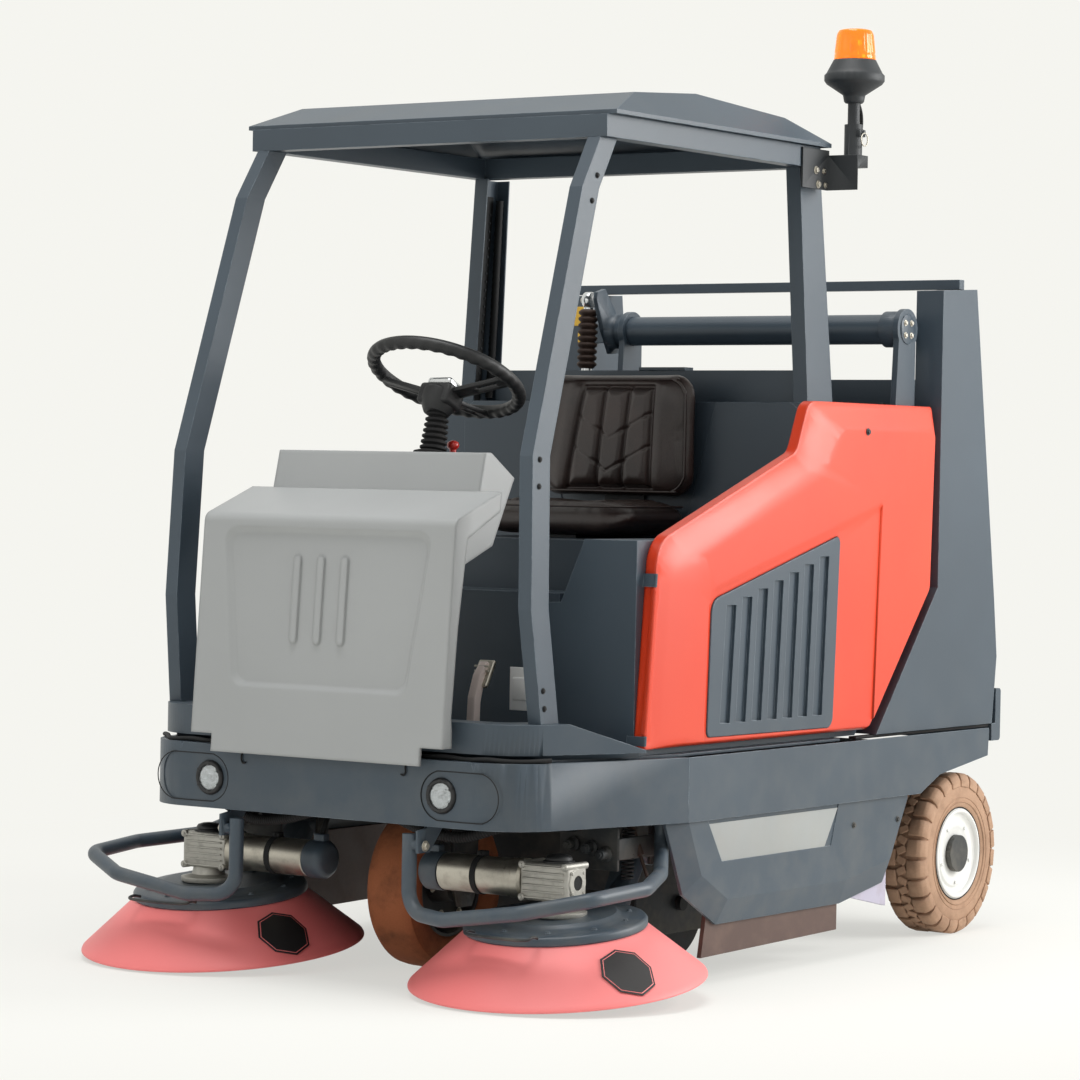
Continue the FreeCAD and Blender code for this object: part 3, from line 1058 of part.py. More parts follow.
def build_fork():
    near = "front_wide / 2 + fork_gap"
    plates = []
    for side, sign in SIDES:
        points = [("front_y - fork_deep / 4", "front_tyre - fork_deep / 2"),
                  ("front_y + fork_deep / 4", "front_tyre - fork_deep / 2"),
                  ("front_y + fork_deep / 2", "front_tyre"),
                  ("front_y + fork_deep / 2", "frame_low - 4"),
                  ("front_y - fork_deep / 2", "frame_low - 4"),
                  ("front_y - fork_deep / 2", "front_tyre")]
        plates.append(pad("fork_side_" + side, "YZ_Plane", points,
                          *span(sign, near, near + " + fork_plate")))
    far = near + " + fork_plate"
    crown = box("fork_top", ("-(%s)" % far, far), ("front_y - fork_deep / 2", "front_y + fork_deep / 2"),
                ("frame_low - fork_crown - 2", "frame_low - 2"))
    pin = round_bar("kingpin_bar", "Z", ("frame_low - fork_crown", "frame_high + head_high"),
                    ("0", "front_y"), "kingpin")
    axle = round_bar("front_axle", "X", ("-(%s) - plate" % far, far + " + plate"),
                     ("front_y", "front_tyre"), "spindle")
    keep(fuse("fork", *plates, crown, pin, axle), "wheel_fork")


def tilted(obj, sign):
    """Place a brush piece on the brush's own leaning axis."""
    return leaned(locate(obj, at_side(sign, "brush_x"), "brush_y", "brush_low"), "brush_pitch")


def build_brushes():
    for side, sign in SIDES:
        skirt = revolved("skirt_" + side, [("skirt_reach", "0"), ("skirt_reach - skirt_wall", "0"),
                                           ("skirt_reach - skirt_wall - 3", "8"),
                                           ("skirt_neck - skirt_wall", "skirt_high"),
                                           ("skirt_neck", "skirt_high"),
                                           ("skirt_reach - 3", "8")])
        keep(tilted(skirt, sign), "dust_skirt_" + side)
        brush = revolved("bristles_" + side, [("0", "skirt_high - bristle_top - 10"), ("0", "skirt_high"),
                                              ("arm_bore * 3", "skirt_high"),
                                              ("arm_bore * 3", "skirt_high - 6"),
                                              ("skirt_neck - 20", "skirt_high - 6"),
                                              ("bristle_reach", "bristle_low"),
                                              ("bristle_reach - 60", "bristle_low"),
                                              ("skirt_neck - 70", "skirt_high - bristle_top - 10")])
        keep(tilted(brush, sign), "side_brush_" + side)
        build_arm(side, sign)
        build_drive(side, sign)
    drum = revolved("drum", [("drum_shaft", "-drum_half"), ("drum_reach", "-drum_half"),
                             ("drum_reach", "drum_half"),
                             ("drum_shaft", "drum_half"), ("drum_shaft", "drum_half + drum_stub"),
                             ("0", "drum_half + drum_stub"), ("0", "-drum_half - drum_stub"),
                             ("drum_shaft", "-drum_half - drum_stub")], "X")
    keep(locate(drum, "0", "drum_y", "drum_z"), "main_brush")
    build_guards()


def build_arm(side, sign):
    """The dished plate over a brush and the arm that lifts it."""
    low = "skirt_high + seat_gap"
    dish = revolved("dish_" + side, [("0", low), ("skirt_neck", low),
                                     ("skirt_neck", low + " + dish_high - 6"),
                                     ("skirt_neck - 8", low + " + dish_high"),
                                     ("dome_reach + 12", low + " + dish_high + 2"),
                                     ("dome_reach", low + " + dome_high"), ("0", low + " + dome_high")])
    dish = tilted(dish, sign)
    xs = span(sign, "brush_x - arm_wide / 2", "brush_x + arm_wide / 2")
    base = "brush_low + skirt_high + dish_high"
    beam = pad("arm_beam_" + side, "YZ_Plane", [
        ("brush_y + dome_reach / 2", base), ("arm_pivot_y - 80", base), ("arm_pivot_y - 14",
                                                                         "arm_pivot_z - 20"),
        ("arm_pivot_y - 14", "arm_pivot_z + 14"), ("arm_pivot_y - 40", "arm_pivot_z + 14"),
        ("arm_pivot_y - 100", base + " + arm_thick"), ("brush_y + dome_reach / 2", base + " + arm_thick")],
               *xs)
    eye = round_bar("arm_eye_" + side, "X", span(sign, "brush_x - arm_ear + 2", "brush_x + arm_ear - 2"),
                    ("arm_pivot_y", "arm_pivot_z"), "arm_bore * 2")
    bore = round_bar("arm_hole_" + side, "X", span(sign, "brush_x - arm_ear", "brush_x + arm_ear"),
                     ("arm_pivot_y", "arm_pivot_z"), "arm_bore + pin_gap")
    keep(cut("arm_cut_" + side, fuse("arm_" + side, dish, beam, eye), bore), "brush_arm_" + side)


def build_drive(side, sign):
    """The brush drive: a ribbed worm-gear case with its cap, and the motor in its clamp."""
    centre, axis = ("drive_y", "motor_z"), "motor_z"
    half = "gear_wide / 2"
    case = box("gear_" + side, span(sign, "gear_in", "gear_out"),
               ("drive_y - " + half, "drive_y + " + half),
               (axis + " - gear_high / 2", axis + " + gear_high / 2"))
    grooves = []
    for index in range(4):
        low = axis + " - gear_high / 2 + 11 + (gear_high - 14) / 4 * %d" % index
        grooves.append(box("gear_groove_%s%d" % (side, index), span(sign, "gear_in + 12", "gear_out - 12"),
                           ("drive_y - %s - 1" % half, "drive_y - %s + rib_deep" % half),
                           (low, low + " + gear_high / 9")))
    body = cut("gear_ribbed_" + side, case, *grooves)
    shaft_hole = round_bar("gear_eye_" + side, "X", span(sign, "gear_out - shaft_deep", "gear_out + 2"),
                           centre, "shaft_bore")
    flange = round_bar("motor_flange_" + side, "X", span(sign, "gear_in - 22", "gear_in"), centre,
                       "motor_radius + 4")
    motor = round_bar("motor_" + side, "X", span(sign, "motor_in", "gear_in - 22"), centre, "motor_radius")
    strap = round_bar("motor_strap_" + side, "X", span(sign, "motor_in + 115",
                                                       "motor_in + 115 + strap_wide"), centre,
                      "motor_radius + 2")
    clamp = round_bar("motor_clamp_" + side, "X", span(sign, "motor_in - 4", "motor_in + clamp_long"),
                      centre,
                      "motor_radius + 3")
    neck = round_bar("gear_neck_" + side, "Z", ("brush_low + skirt_high + dome_high - 2", axis),
                     (at_side(sign, "(gear_in + gear_out) / 2 + 15"), "drive_y"), "gear_wide * 0.42")
    foot = round_bar("gear_foot_" + side, "Z", ("brush_low + skirt_high + dome_high - 2",
                                                "brush_low + skirt_high + dome_high + 14"),
                     (at_side(sign, "(gear_in + gear_out) / 2 + 15"), "drive_y"), "gear_wide * 0.8")
    cap = revolved("gear_cap_" + side, [("0", "0"), ("dome_cap", "0"), ("dome_cap", "8"),
                                        ("dome_cap * 0.8", "15"),
                                        ("dome_cap * 0.4", "19"), ("0", "20")])
    locate(cap, at_side(sign, "(gear_in + gear_out) / 2 + 15"), "drive_y", axis + " + gear_high / 2")
    whole = fuse("drive_" + side, body, flange, motor, strap, clamp, neck, foot, cap)
    sunk = tilted(round_bar("drive_seat_" + side, "Z", ("0", "skirt_high + seat_gap * 2 + dome_high"),
                            ("0", "0"), "skirt_reach"), sign)
    keep(cut("drive_cut_" + side, whole, sunk, shaft_hole), "brush_drive_" + side)


def build_guards():
    """Bent tubes round the brushes, from a lug under the frame's front end to the outrigger behind."""
    tubes = []
    for side, sign in SIDES:
        route = [("guard_x", "guard_y", "guard_eye_z + 25"), ("guard_x", "guard_y", "guard_low + 6"),
                 ("guard_x + 120", "guard_y - 34", "guard_low"),
                 ("brush_x + 90", "guard_y - 40", "guard_mid"),
                 ("guard_out - 22", "guard_y + 30", "guard_high"), ("guard_out", "guard_y + 220", "guard_top"),
                 ("guard_end_x + 70", "guard_end_y - 110", "guard_top + 14"),
                 ("guard_end_x", "guard_end_y", "guard_top + 64"),
                 ("guard_end_x", "guard_end_y", "frame_high - outrigger - seat_gap")]
        route = [(at_side(sign, x), y, z) for x, y, z in route]
        tube = bent_tube("guard_tube_" + side, route, "guard_radius", "guard_bend")
        low, high = "frame_x - frame_wide / 2", "frame_x - frame_wide / 2 + ear_thick"
        lug = pad("guard_lug_" + side, "YZ_Plane", [
            ("guard_y - 18", "guard_eye_z - 16"), ("guard_y - 18", "belt_low - 10"), ("guard_y + 12",
                                                                                      "belt_low - 6"),
            ("frame_front", "frame_low - seat_gap"), ("frame_front + 50", "frame_low - seat_gap"),
            ("frame_front + 50", "frame_low - 30"), ("guard_y + 24", "guard_eye_z - 16")],
                  *span(sign, low, high))
        sleeve = round_bar("guard_sleeve_" + side, "X", span(sign, "guard_x", high + " + 4"),
                           ("guard_y", "guard_eye_z"), "12")
        tubes.append(fuse("guard_" + side, tube, lug, sleeve))
    keep(group("guards", *tubes), "brush_guards")


def build_underside():
    """The main brush's housing, the faceted side skirts and the rubber flaps under them."""
    cheeks = []
    ys = ("drum_y - housing_half", "drum_y + housing_half")
    top = "frame_low - seat_gap"
    inner, outer = "drum_half + cheek_gap", "drum_half + cheek_gap + plate"
    for side, sign in SIDES:
        cheeks.append(box("cheek_" + side, span(sign, inner, outer), ys, ("cheek_low", top)))
    back = box("brush_back", ("-(%s)" % inner, inner), ("drum_y + housing_back",
                                                        "drum_y + housing_back + plate"),
               ("cheek_low", top))
    lid = box("brush_top", ("-(%s)" % outer, outer), ys, (top + " - plate", top))
    front = box("brush_front", ("-(%s)" % inner, inner), ("drum_y - housing_half",
                                                          "drum_y - housing_half + plate"),
                ("housing_mouth", top))
    bore = round_bar("cheek_bore", "X", ("-(%s) - plate" % outer, outer + " + plate"), ("drum_y", "drum_z"),
                     "drum_shaft + pin_gap")
    keep(cut("housing", fuse("housing_joined", back, lid, front, *cheeks), bore), "brush_housing")
    top = "belt_low - seat_gap"
    plan = [("skirt_front", top), ("skirt_bend_y", "skirt_bend_z"), ("skirt_toe_y", "skirt_low"),
            ("skirt_heel_y", "skirt_low"), ("skirt_lift_y", "skirt_lift_z"), ("skirt_rear", top)]
    face = inset(plan, ["skirt_bevel", "skirt_bevel", "skirt_bevel", "skirt_bevel", "skirt_bevel / 2", "0"])
    radii = ["6"] * 6
    skirts, flaps = [], []
    for side, sign in SIDES:
        def prism(name, levels):
            return lofted(name + side, "X", [(at_side(sign, x), ring) for x, ring in levels], radii)
        shell = prism("skirt_out_", (("skirt_in", plan), ("skirt_face", plan), ("skirt_out", face)))
        thin, thin_face = inset(plan, ["plate"] * 6), inset(face, ["plate"] * 6)
        room = prism("skirt_room_", (("skirt_in - plate", thin), ("skirt_face - plate", thin),
                                     ("skirt_out - plate", thin_face)))
        pale = [("pale_front", top), ("pale_front + pale_slant", top + " - pale_high"),
                ("pale_rear - pale_slant / 2", top + " - pale_high"), ("pale_rear", top)]
        patch = pad("pale_field_" + side, "YZ_Plane", pale, *span(sign, "skirt_out - pale_deep",
                                                                  "skirt_out + pale_deep"))
        hanger = box("skirt_hanger_" + side, span(sign, "skirt_out - plate * 2", "skirt_out - plate"),
                     ("pale_front", "pale_rear"), (top + " - pale_deep * 8",
                                                   "frame_high - outrigger - seat_gap"))
        skirts.append(fuse("skirt_hung_" + side, cut("skirt_side_" + side, shell, room, patch), hanger))
        xs = span(sign, "skirt_in - seat_gap - flap_thick", "skirt_in - seat_gap")
        flaps.append(pad("flap_" + side, "YZ_Plane", [("flap_front + 40", "flap_top"),
                                                      ("flap_front", "flap_low"),
                                                      ("flap_rear", "flap_low + 10"),
                                                      ("flap_rear", "flap_top")], *xs))
        flaps.append(pad("tail_flap_" + side, "YZ_Plane", [("flap_rear + 2", "flap_top"),
                                                           ("flap_rear + 2", "flap_low + 96"),
                                                           ("tail_flap_rear", "flap_low + 48"),
                                                           ("tail_flap_rear", "flap_top")], *xs))
    keep(group("skirts", *skirts), "side_skirts")
    keep(group("flaps", *flaps), "rubber_flaps")


def hopper_side(front, rear, low, high):
    """The hopper's outline below its top edge, from the knee in front to the bumper behind."""
    return [(front, high), ("tub_rear" if high == "tub_high" else "column_top",
                            high if high == "tub_high" else high + " + column_rise"),
            (rear, "rear_knee_z"), (rear + " + column_bulge", "belly_z"), (rear, low), ("hopper_toe", low),
            (front, "knee_z")]


def build_hopper():
    left = hopper_side("column_front", "column_rear", "hopper_low", "column_high")
    cheek = pad("cheek_left", "YZ_Plane", left, "column_in", "column_out")
    keep(cheek, "hopper_column_left")
    low = hopper_side("column_front", "column_rear", "hopper_low", "tub_high")
    right = pad("cheek_right", "YZ_Plane", low, "-column_out", "-column_in")
    inner = "-column_in + mast_in + mast_wide"
    mast = pad("mast", "YZ_Plane", [("column_front + 10", "tub_high"), ("column_front + 10", "column_high"),
                                    ("column_top - 20", "column_high + column_rise - 4"),
                                    ("column_top + 10", "tub_high")],
               "-column_in + mast_in", inner)
    shelf = box("mast_shelf", ("-column_out", inner), ("column_front", "tub_rear - 25"),
                ("tub_high", "tub_high + 12"))
    keep(fuse("cheek_right_joined", right, mast, shelf), "hopper_column_right")
    edge = "column_in - seat_gap"
    tub = pad("tub", "YZ_Plane", hopper_side("column_front", "column_rear - tub_wall", "hopper_low",
                                             "tub_high"),
              "-(%s)" % edge, edge)
    room = pad("tub_room", "YZ_Plane", [
        ("column_front + tub_wall", "tub_high - tub_wall"), ("tub_rear - tub_wall", "tub_high - tub_wall"),
        ("column_rear - tub_wall * 2", "rear_knee_z"), ("column_rear + column_bulge - tub_wall * 2",
                                                        "belly_z"),
        ("column_rear - tub_wall * 2", "hopper_low + tub_wall"), ("hopper_toe - 45",
                                                                  "hopper_low + tub_wall"),
        ("column_front - 65", "knee_z - 3"), ("column_front + tub_wall", "knee_z - 3")],
        "-(%s) + tub_wall" % edge, edge + " - tub_wall")
    keep(cut("tub_cut", tub, room), "hopper_tub")
    share = "(bar_y - column_front) / (column_top - column_front)"
    bar_low = "column_high + column_rise * %s + seat_gap + 1.5" % share
    keep(box("bar", ("-column_in + mast_in + bar_high", "column_out - plate"),
             ("bar_y", "bar_y + bar_high"),
             (bar_low, bar_low + " + bar_high")), "hopper_crossbar")
    build_torque()
    build_lift()


def build_torque():
    """The tube that the hopper turns on, with its crank, collars and the arms to the hopper."""
    axis = ("hinge_y", "hinge_z")
    tube = round_bar("torque", "X", ("tube_right", "tube_end"), axis, "tube_radius")
    collars = [round_bar("torque_collar_%d" % index, "X", ends, axis, "collar_radius")
               for index, ends in enumerate((("tube_right", "tube_right + 26"),
                                             ("upright_in - 44", "upright_in - 4")))]
    crank = pad("crank", "YZ_Plane", [("pin_y - 26", "pin_z + 20"), ("pin_y + 10", "pin_z + 30"),
                                      ("hinge_y + tube_radius + 6", "hinge_z + 18"),
                                      ("hinge_y + tube_radius + 30", "hinge_z - 54"),
                                      ("hinge_y - 8", "hinge_z - 60"),
                                      ("hinge_y - tube_radius - 6", "hinge_z"), ("pin_y - 30", "pin_z")],
                "tube_right - crank_thick", "tube_right")
    zs = ("hinge_z - 25", "hinge_z + 25")
    arm = box("tube_arm", ("arm_in", "column_in - seat_gap"), ("hinge_y", "column_front + arm_lap"), zs)
    inner = "-column_in + mast_in + mast_wide + seat_gap"
    arm_right = box("tube_arm_right", ("tube_right", "tube_right + 40"),
                    ("hinge_y", "column_front + arm_lap"), zs)
    tie_bar = box("tube_tie", (inner, "tube_right + 40"), ("column_front + 10", "column_front + arm_lap"),
                  zs)
    keep(fuse("torque_joined", tube, crank, arm, arm_right, tie_bar, *collars), "torque_tube")
    uprights = []
    for name, low, high in (("left", "upright_in", "upright_in + upright_thick"),
                            ("right", "tube_right + 50", "tube_right + 50 + upright_thick")):
        slab = pad("upright_" + name, "YZ_Plane", [
            ("hinge_y - upright_half * 1.3", "hood_high + seat_gap"), ("hinge_y + upright_half",
                                                                       "hood_high + seat_gap"),
            ("hinge_y + upright_half", "hinge_z"), ("hinge_y - upright_half", "hinge_z")], low, high)
        head = round_bar("upright_head_" + name, "X", (low, high), axis, "upright_half + 10")
        hole = round_bar("upright_bore_" + name, "X", (low + " - 1", high + " + 1"), axis,
                         "tube_radius + pin_gap")
        uprights.append(cut("upright_cut_" + name, fuse("upright_joined_" + name, slab, head), hole))
    keep(group("uprights", *uprights, build_lift_foot()), "lift_uprights")


def build_lift_foot():
    """The bracket on the rear cross member that the lift cylinder stands on."""
    base = "frame_high + seat_gap"
    ears = []
    for index, (low, high) in enumerate((("lift_x - barrel_radius - 10", "lift_x - barrel_radius - 4"),
                                         ("lift_x + barrel_radius + 4", "lift_x + barrel_radius + 10"))):
        points = [("foot_y", base), ("foot_y + foot_long", base), ("lift_foot_y + 18", "lift_foot_z - 40"),
                  ("lift_foot_y + 18", "lift_foot_z + 18"), ("lift_foot_y - 30", "lift_foot_z + 18"),
                  ("foot_y", "lift_foot_z - 100")]
        ears.append(pad("lift_ear_%d" % index, "YZ_Plane", points, low, high))
    foot = box("lift_foot", ("lift_x - barrel_radius - 10", "lift_x + barrel_radius + 10"),
               ("foot_y", "foot_y + foot_long"),
               (base, base + " + 10"))
    pin = round_bar("lift_pin", "X", ("lift_x - barrel_radius - 12", "lift_x + barrel_radius + 12"),
                    ("lift_foot_y", "lift_foot_z"), "lift_pin")
    return fuse("lift_bracket", foot, pin, *ears)


def build_lift():
    """The hopper's cylinder: a barrel on its foot pin and the rod in a ribbed gaiter."""
    barrel = round_bar("barrel", "Z", ("0", "barrel_high"), ("0", "0"), "barrel_radius")
    neck = round_bar("barrel_neck", "Z", ("barrel_high - 24", "barrel_high"), ("0", "0"),
                     "barrel_radius + 3")
    bore = round_bar("barrel_hole", "Z", ("40", "barrel_high + 10"), ("0", "0"), "rod_radius + pin_gap")
    end = "barrel_radius - 4"
    barrel_eye = round_bar("barrel_eye", "X", ("-(%s)" % end, end), ("0", "0"), "rod_eye")
    eye_hole = round_bar("barrel_eye_hole", "X", ("-barrel_radius * 2", "barrel_radius * 2"), ("0", "0"),
                         "lift_pin + pin_gap")
    whole = cut("barrel_cut", fuse("barrel_joined", barrel, neck, barrel_eye), bore, eye_hole)
    keep(leaned(locate(whole, "lift_x", "lift_foot_y", "lift_foot_z"), "lift_tilt"), "lift_barrel")
    rod = round_bar("rod", "Z", ("lift_reach - 560", "lift_reach - 16"), ("0", "0"), "rod_radius")
    base = "lift_reach - 180"
    points = [("0", base)]
    for index in range(6):
        level = base + " + gaiter_pitch * %d" % index
        points += [("gaiter_neck", level), ("gaiter_radius", level + " + gaiter_pitch * 0.35"),
                   ("gaiter_radius", level + " + gaiter_pitch * 0.65")]
    points += [("gaiter_neck", base + " + gaiter_pitch * 6"), ("0", base + " + gaiter_pitch * 6")]
    gaiter = revolved("gaiter", points)
    eye = round_bar("rod_eye_ring", "X", ("-eye_half", "eye_half"), ("0", "lift_reach"), "rod_eye")
    pin = round_bar("rod_pin", "X", ("-eye_half - 4", "tube_right - crank_thick - pin_end - lift_x"),
                    ("0", "lift_reach"), "10")
    rod_all = fuse("rod_joined", rod, gaiter, eye, pin)
    keep(leaned(locate(rod_all, "lift_x", "lift_foot_y", "lift_foot_z"), "lift_tilt"), "lift_rod")


for build in (build_chassis, build_belt, build_cab_floor, build_fairing, build_steering, build_seat,
              build_hood,
              build_sides, build_canopy, build_lamps, build_wheels, build_brushes, build_underside,
              build_hopper):
    build()
doc.recompute()

bad = [obj.Label for obj in doc.Objects if "Invalid" in obj.State or "Error" in obj.State]
if bad:
    raise SystemExit("failed objects: " + ", ".join(bad))
for obj in kept:
    if obj.Shape.isNull() or not obj.Shape.isValid():
        raise SystemExit("bad shape: " + obj.Label)

os.makedirs("parts", exist_ok=True)
for obj in kept:
    obj.Shape.exportStep("parts/%s.step" % obj.Label)
    print(obj.Label, len(obj.Shape.Solids), "solids", round(obj.Shape.Volume / 1e6, 3), "l")
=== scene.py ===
import bpy, bmesh, json, math, random
from mathutils import Matrix, Vector


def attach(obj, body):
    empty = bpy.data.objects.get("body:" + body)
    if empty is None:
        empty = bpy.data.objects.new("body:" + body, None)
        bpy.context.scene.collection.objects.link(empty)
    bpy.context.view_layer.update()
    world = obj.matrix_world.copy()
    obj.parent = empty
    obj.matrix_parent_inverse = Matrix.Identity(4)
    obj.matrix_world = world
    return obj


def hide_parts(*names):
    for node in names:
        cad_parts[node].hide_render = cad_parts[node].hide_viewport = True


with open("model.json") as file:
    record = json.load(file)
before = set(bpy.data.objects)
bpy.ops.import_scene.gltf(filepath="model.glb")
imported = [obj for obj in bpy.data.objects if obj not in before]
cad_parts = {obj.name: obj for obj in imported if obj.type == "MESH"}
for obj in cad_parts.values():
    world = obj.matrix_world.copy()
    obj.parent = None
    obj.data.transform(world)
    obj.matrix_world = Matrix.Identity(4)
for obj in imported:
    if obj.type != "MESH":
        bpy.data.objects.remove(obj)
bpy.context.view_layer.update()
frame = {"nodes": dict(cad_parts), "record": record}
midY = 0.913943   # row Y of a station, in metres, is the station less this


def at(x, station, z):   # a point given in millimetres, with its station along the machine
    return Vector((x / 1000, station / 1000 - midY, z / 1000))


def moved(x, station, z):
    return Matrix.Translation(at(x, station, z))


def route(points, sign=1):   # the points of a hose, on the driver's left or mirrored
    return [at(sign * x, station, z) for x, station, z in points]


# camera and light
view = {"place": (5.18637, -6.75876 - midY, 1.18885), "turn": 0.60415, "pitch": 0.018687, "roll": 0.018329,
        "lens": 123.278}
light = {"backdrop": (0.915, 0.912, 0.868), "world": 0.46, "glow": 0.62,
         "lamps": (("sideLamp", (4.4, 2.9, 2.7), (0, 0.3, 1.0), 3.0, 245),
                   ("frontLamp", (-1.6, -5.4, 3.0), (0, -0.4, 0.9), 3.2, 22),
                   ("topLamp", (0.3, -1.4, 8.0), (0, 0, 0), 4.5, 400))}


def shown(name, data):   # an object in the scene, from its mesh, camera, lamp or curve
    obj = bpy.data.objects.new(name, data)
    bpy.context.scene.collection.objects.link(obj)
    return obj


def setView():
    ahead = Vector((-math.sin(view["turn"]) * math.cos(view["pitch"]),
                    math.cos(view["turn"]) * math.cos(view["pitch"]), -math.sin(view["pitch"])))
    flat = Vector((math.cos(view["turn"]), math.sin(view["turn"]), 0))
    up = flat.cross(ahead)
    right = flat * math.cos(view["roll"]) + up * math.sin(view["roll"])
    up = right.cross(ahead)
    data = bpy.data.cameras.new("camera")
    data.sensor_width, data.lens, data.clip_end = 36, view["lens"], 60
    camera = shown("camera", data)
    camera.matrix_world = Matrix((right, up, -ahead)).transposed().to_4x4()
    camera.location = view["place"]
    bpy.context.scene.camera = camera


class Wire:   # a node's socket, with arithmetic on it
    def __init__(self, finish, socket):
        self.finish, self.socket = finish, socket

    def math(self, operation, other=0.0, swap=False, clamp=False):
        first, second = (other, self) if swap else (self, other)
        return self.finish.add("ShaderNodeMath", {"operation": operation, "use_clamp": clamp},
                               {0: first, 1: second})

    def __add__(self, other): return self.math("ADD", other)
    def __radd__(self, other): return self.math("ADD", other)
    def __sub__(self, other): return self.math("SUBTRACT", other)
    def __rsub__(self, other): return self.math("SUBTRACT", other, True)
    def __mul__(self, other): return self.math("MULTIPLY", other)
    def __rmul__(self, other): return self.math("MULTIPLY", other)
    def clip(self): return self.math("ADD", 0.0, clamp=True)


class Finish:   # one material, whose nodes are added from expressions
    def __init__(self, name, roughness=0.5, metallic=0.0, **fixed):
        self.material = bpy.data.materials.new(name)
        self.material.use_nodes = True
        self.tree = self.material.node_tree
        self.shader = self.tree.nodes["Principled BSDF"]
        self.set("Roughness", roughness)
        self.set("Metallic", metallic)
        for socket, value in fixed.items():
            self.set(socket.replace("_", " "), value)

    def feed(self, socket, value):
        if isinstance(value, Wire):
            self.tree.links.new(value.socket, socket)
        else:
            socket.default_value = value

    def set(self, socket, value):
        self.feed(self.shader.inputs[socket], value)

    def add(self, kind, settings, inputs, output=0):
        node = self.tree.nodes.new(kind)
        for name, value in settings.items():
            setattr(node, name, value)
        for name, value in inputs.items():
            self.feed(node.inputs[name], value)
        return Wire(self, node.outputs[output])

    def place(self):   # Object coordinates
        return self.add("ShaderNodeTexCoord", {}, {}, 3)

    def along(self, axis, spot=None):
        return self.add("ShaderNodeSeparateXYZ", {}, {0: spot or self.place()}, "XYZ".index(axis))

    def noise(self, spot, scale, detail=2.0, rough=0.5):
        return self.add("ShaderNodeTexNoise", {}, {"Vector": spot, "Scale": scale, "Detail": detail,
                                                   "Roughness": rough})

    def cells(self, spot, scale):   # the distance to the edges of small cells, as in a leather grain
        return self.add("ShaderNodeTexVoronoi", {"feature": "DISTANCE_TO_EDGE"}, {"Vector": spot, "Scale": scale})

    def spread(self, value, low, high):   # low..high of a value becomes 0..1
        return self.add("ShaderNodeMapRange", {"clamp": True}, {0: value, 1: low, 2: high})

    def blend(self, first, second, share):
        return self.add("ShaderNodeMix", {"data_type": "RGBA"}, {0: share, 6: first, 7: second}, 2)

    def edges(self, radius):   # 1 on the sharp edges of a piece, 0 on its flats
        soft = self.add("ShaderNodeBevel", {"samples": 4}, {"Radius": radius})
        true = self.add("ShaderNodeNewGeometry", {}, {}, 1)
        return (1 - self.add("ShaderNodeVectorMath", {"operation": "DOT_PRODUCT"}, {0: soft, 1: true}, 1)).clip()

    def facing(self, axis):
        normal = self.add("ShaderNodeNewGeometry", {}, {}, 1)
        return self.along(axis, normal)

    def bump(self, height, strength, distance, radius=0.0):
        inputs = {"Height": height, "Strength": strength, "Distance": distance}
        if radius:
            inputs["Normal"] = self.add("ShaderNodeBevel", {"samples": 6}, {"Radius": radius})
        self.set("Normal", self.add("ShaderNodeBump", {}, inputs))


def tint(code, lift=1.0):   # a colour from its screen value, in linear light
    parts = [int(code[i:i + 2], 16) / 255 for i in (0, 2, 4)]
    return tuple([min(1, lift * (p / 12.92 if p < 0.04045 else ((p + 0.055) / 1.055) ** 2.4)) for p in parts] + [1])


def powderCoat(name, code, wornEdgeHighlightTint, grain=0.35, gloss=0.42, dusty=0.3, radius=0.0025):
    finish = Finish(name, Specular_IOR_Level=0.5, Coat_Roughness=0.25)
    spot = finish.place()
    cloud = finish.noise(spot, 2.3, 3)
    fine = finish.noise(spot, 620, 2)
    colour = finish.blend(tint(code, 0.9), tint(code, 1.1), finish.spread(cloud, 0.3, 0.7))
    # sharp edges lightened towards a paler tone in patches: partly wear, partly a painted highlight along the edges
    wearAndEdgeHighlight = finish.edges(radius) * 2.2 * finish.spread(finish.noise(spot, 26, 3), 0.35, 0.6)
    colour = finish.blend(colour, tint(wornEdgeHighlightTint), wearAndEdgeHighlight.clip() * 0.75)
    low = finish.spread(finish.along("Z"), 0.75, 0.08)
    ledge = finish.spread(finish.facing("Z"), 0.5, 0.95)
    dust = (low * 0.6 + ledge * 0.25) * finish.spread(finish.noise(spot, 9, 4, 0.6), 0.42, 0.75) * dusty
    finish.set("Base Color", finish.blend(colour, tint("9A9384"), dust.clip()))
    finish.set("Roughness", gloss + fine * 0.08 + dust * 0.5)
    finish.bump(fine, grain, 0.0006, radius)
    return finish.material


def mouldedSkin(name, code, low, high, gloss=0.38, grain=0.25, scale=420, coat=0.0, radius=0.003):
    finish = Finish(name, Coat_Roughness=0.12)
    spot = finish.place()
    cloud = finish.noise(spot, 1.7, 3)
    pits = finish.noise(spot, scale, 3, 0.6)
    colour = finish.blend(tint(low), tint(high), finish.spread(cloud, 0.32, 0.68))
    colour = finish.blend(tint(code), colour, 0.6)
    # painted highlight: every sharp edge is lightened towards a paler tone
    paintedEdgeHighlight = finish.edges(0.004) * 1.4
    colour = finish.blend(colour, tint(high, 1.12), paintedEdgeHighlight.clip() * 0.5)
    finish.set("Base Color", colour)
    finish.set("Roughness", gloss + pits * 0.12 + finish.spread(finish.noise(spot, 6, 3), 0.4, 0.7) * 0.06)
    finish.set("Coat Weight", coat)
    finish.bump(pits, grain, 0.0004, radius)
    return finish.material


def rubberSkin(name, code, dirt, share=0.45, gloss=0.72, scale=260, radius=0.0015):
    finish = Finish(name, Specular_IOR_Level=0.35)
    spot = finish.place()
    mud = finish.spread(finish.noise(spot, 14, 5, 0.65), 0.45, 0.72)
    fine = finish.noise(spot, scale, 3, 0.6)
    colour = finish.blend(tint(code, 0.85), tint(code, 1.15), fine)
    finish.set("Base Color", finish.blend(colour, tint(dirt), mud * share))
    finish.set("Roughness", gloss + mud * 0.15)
    finish.bump(fine, 0.35, 0.0006, radius)
    return finish.material


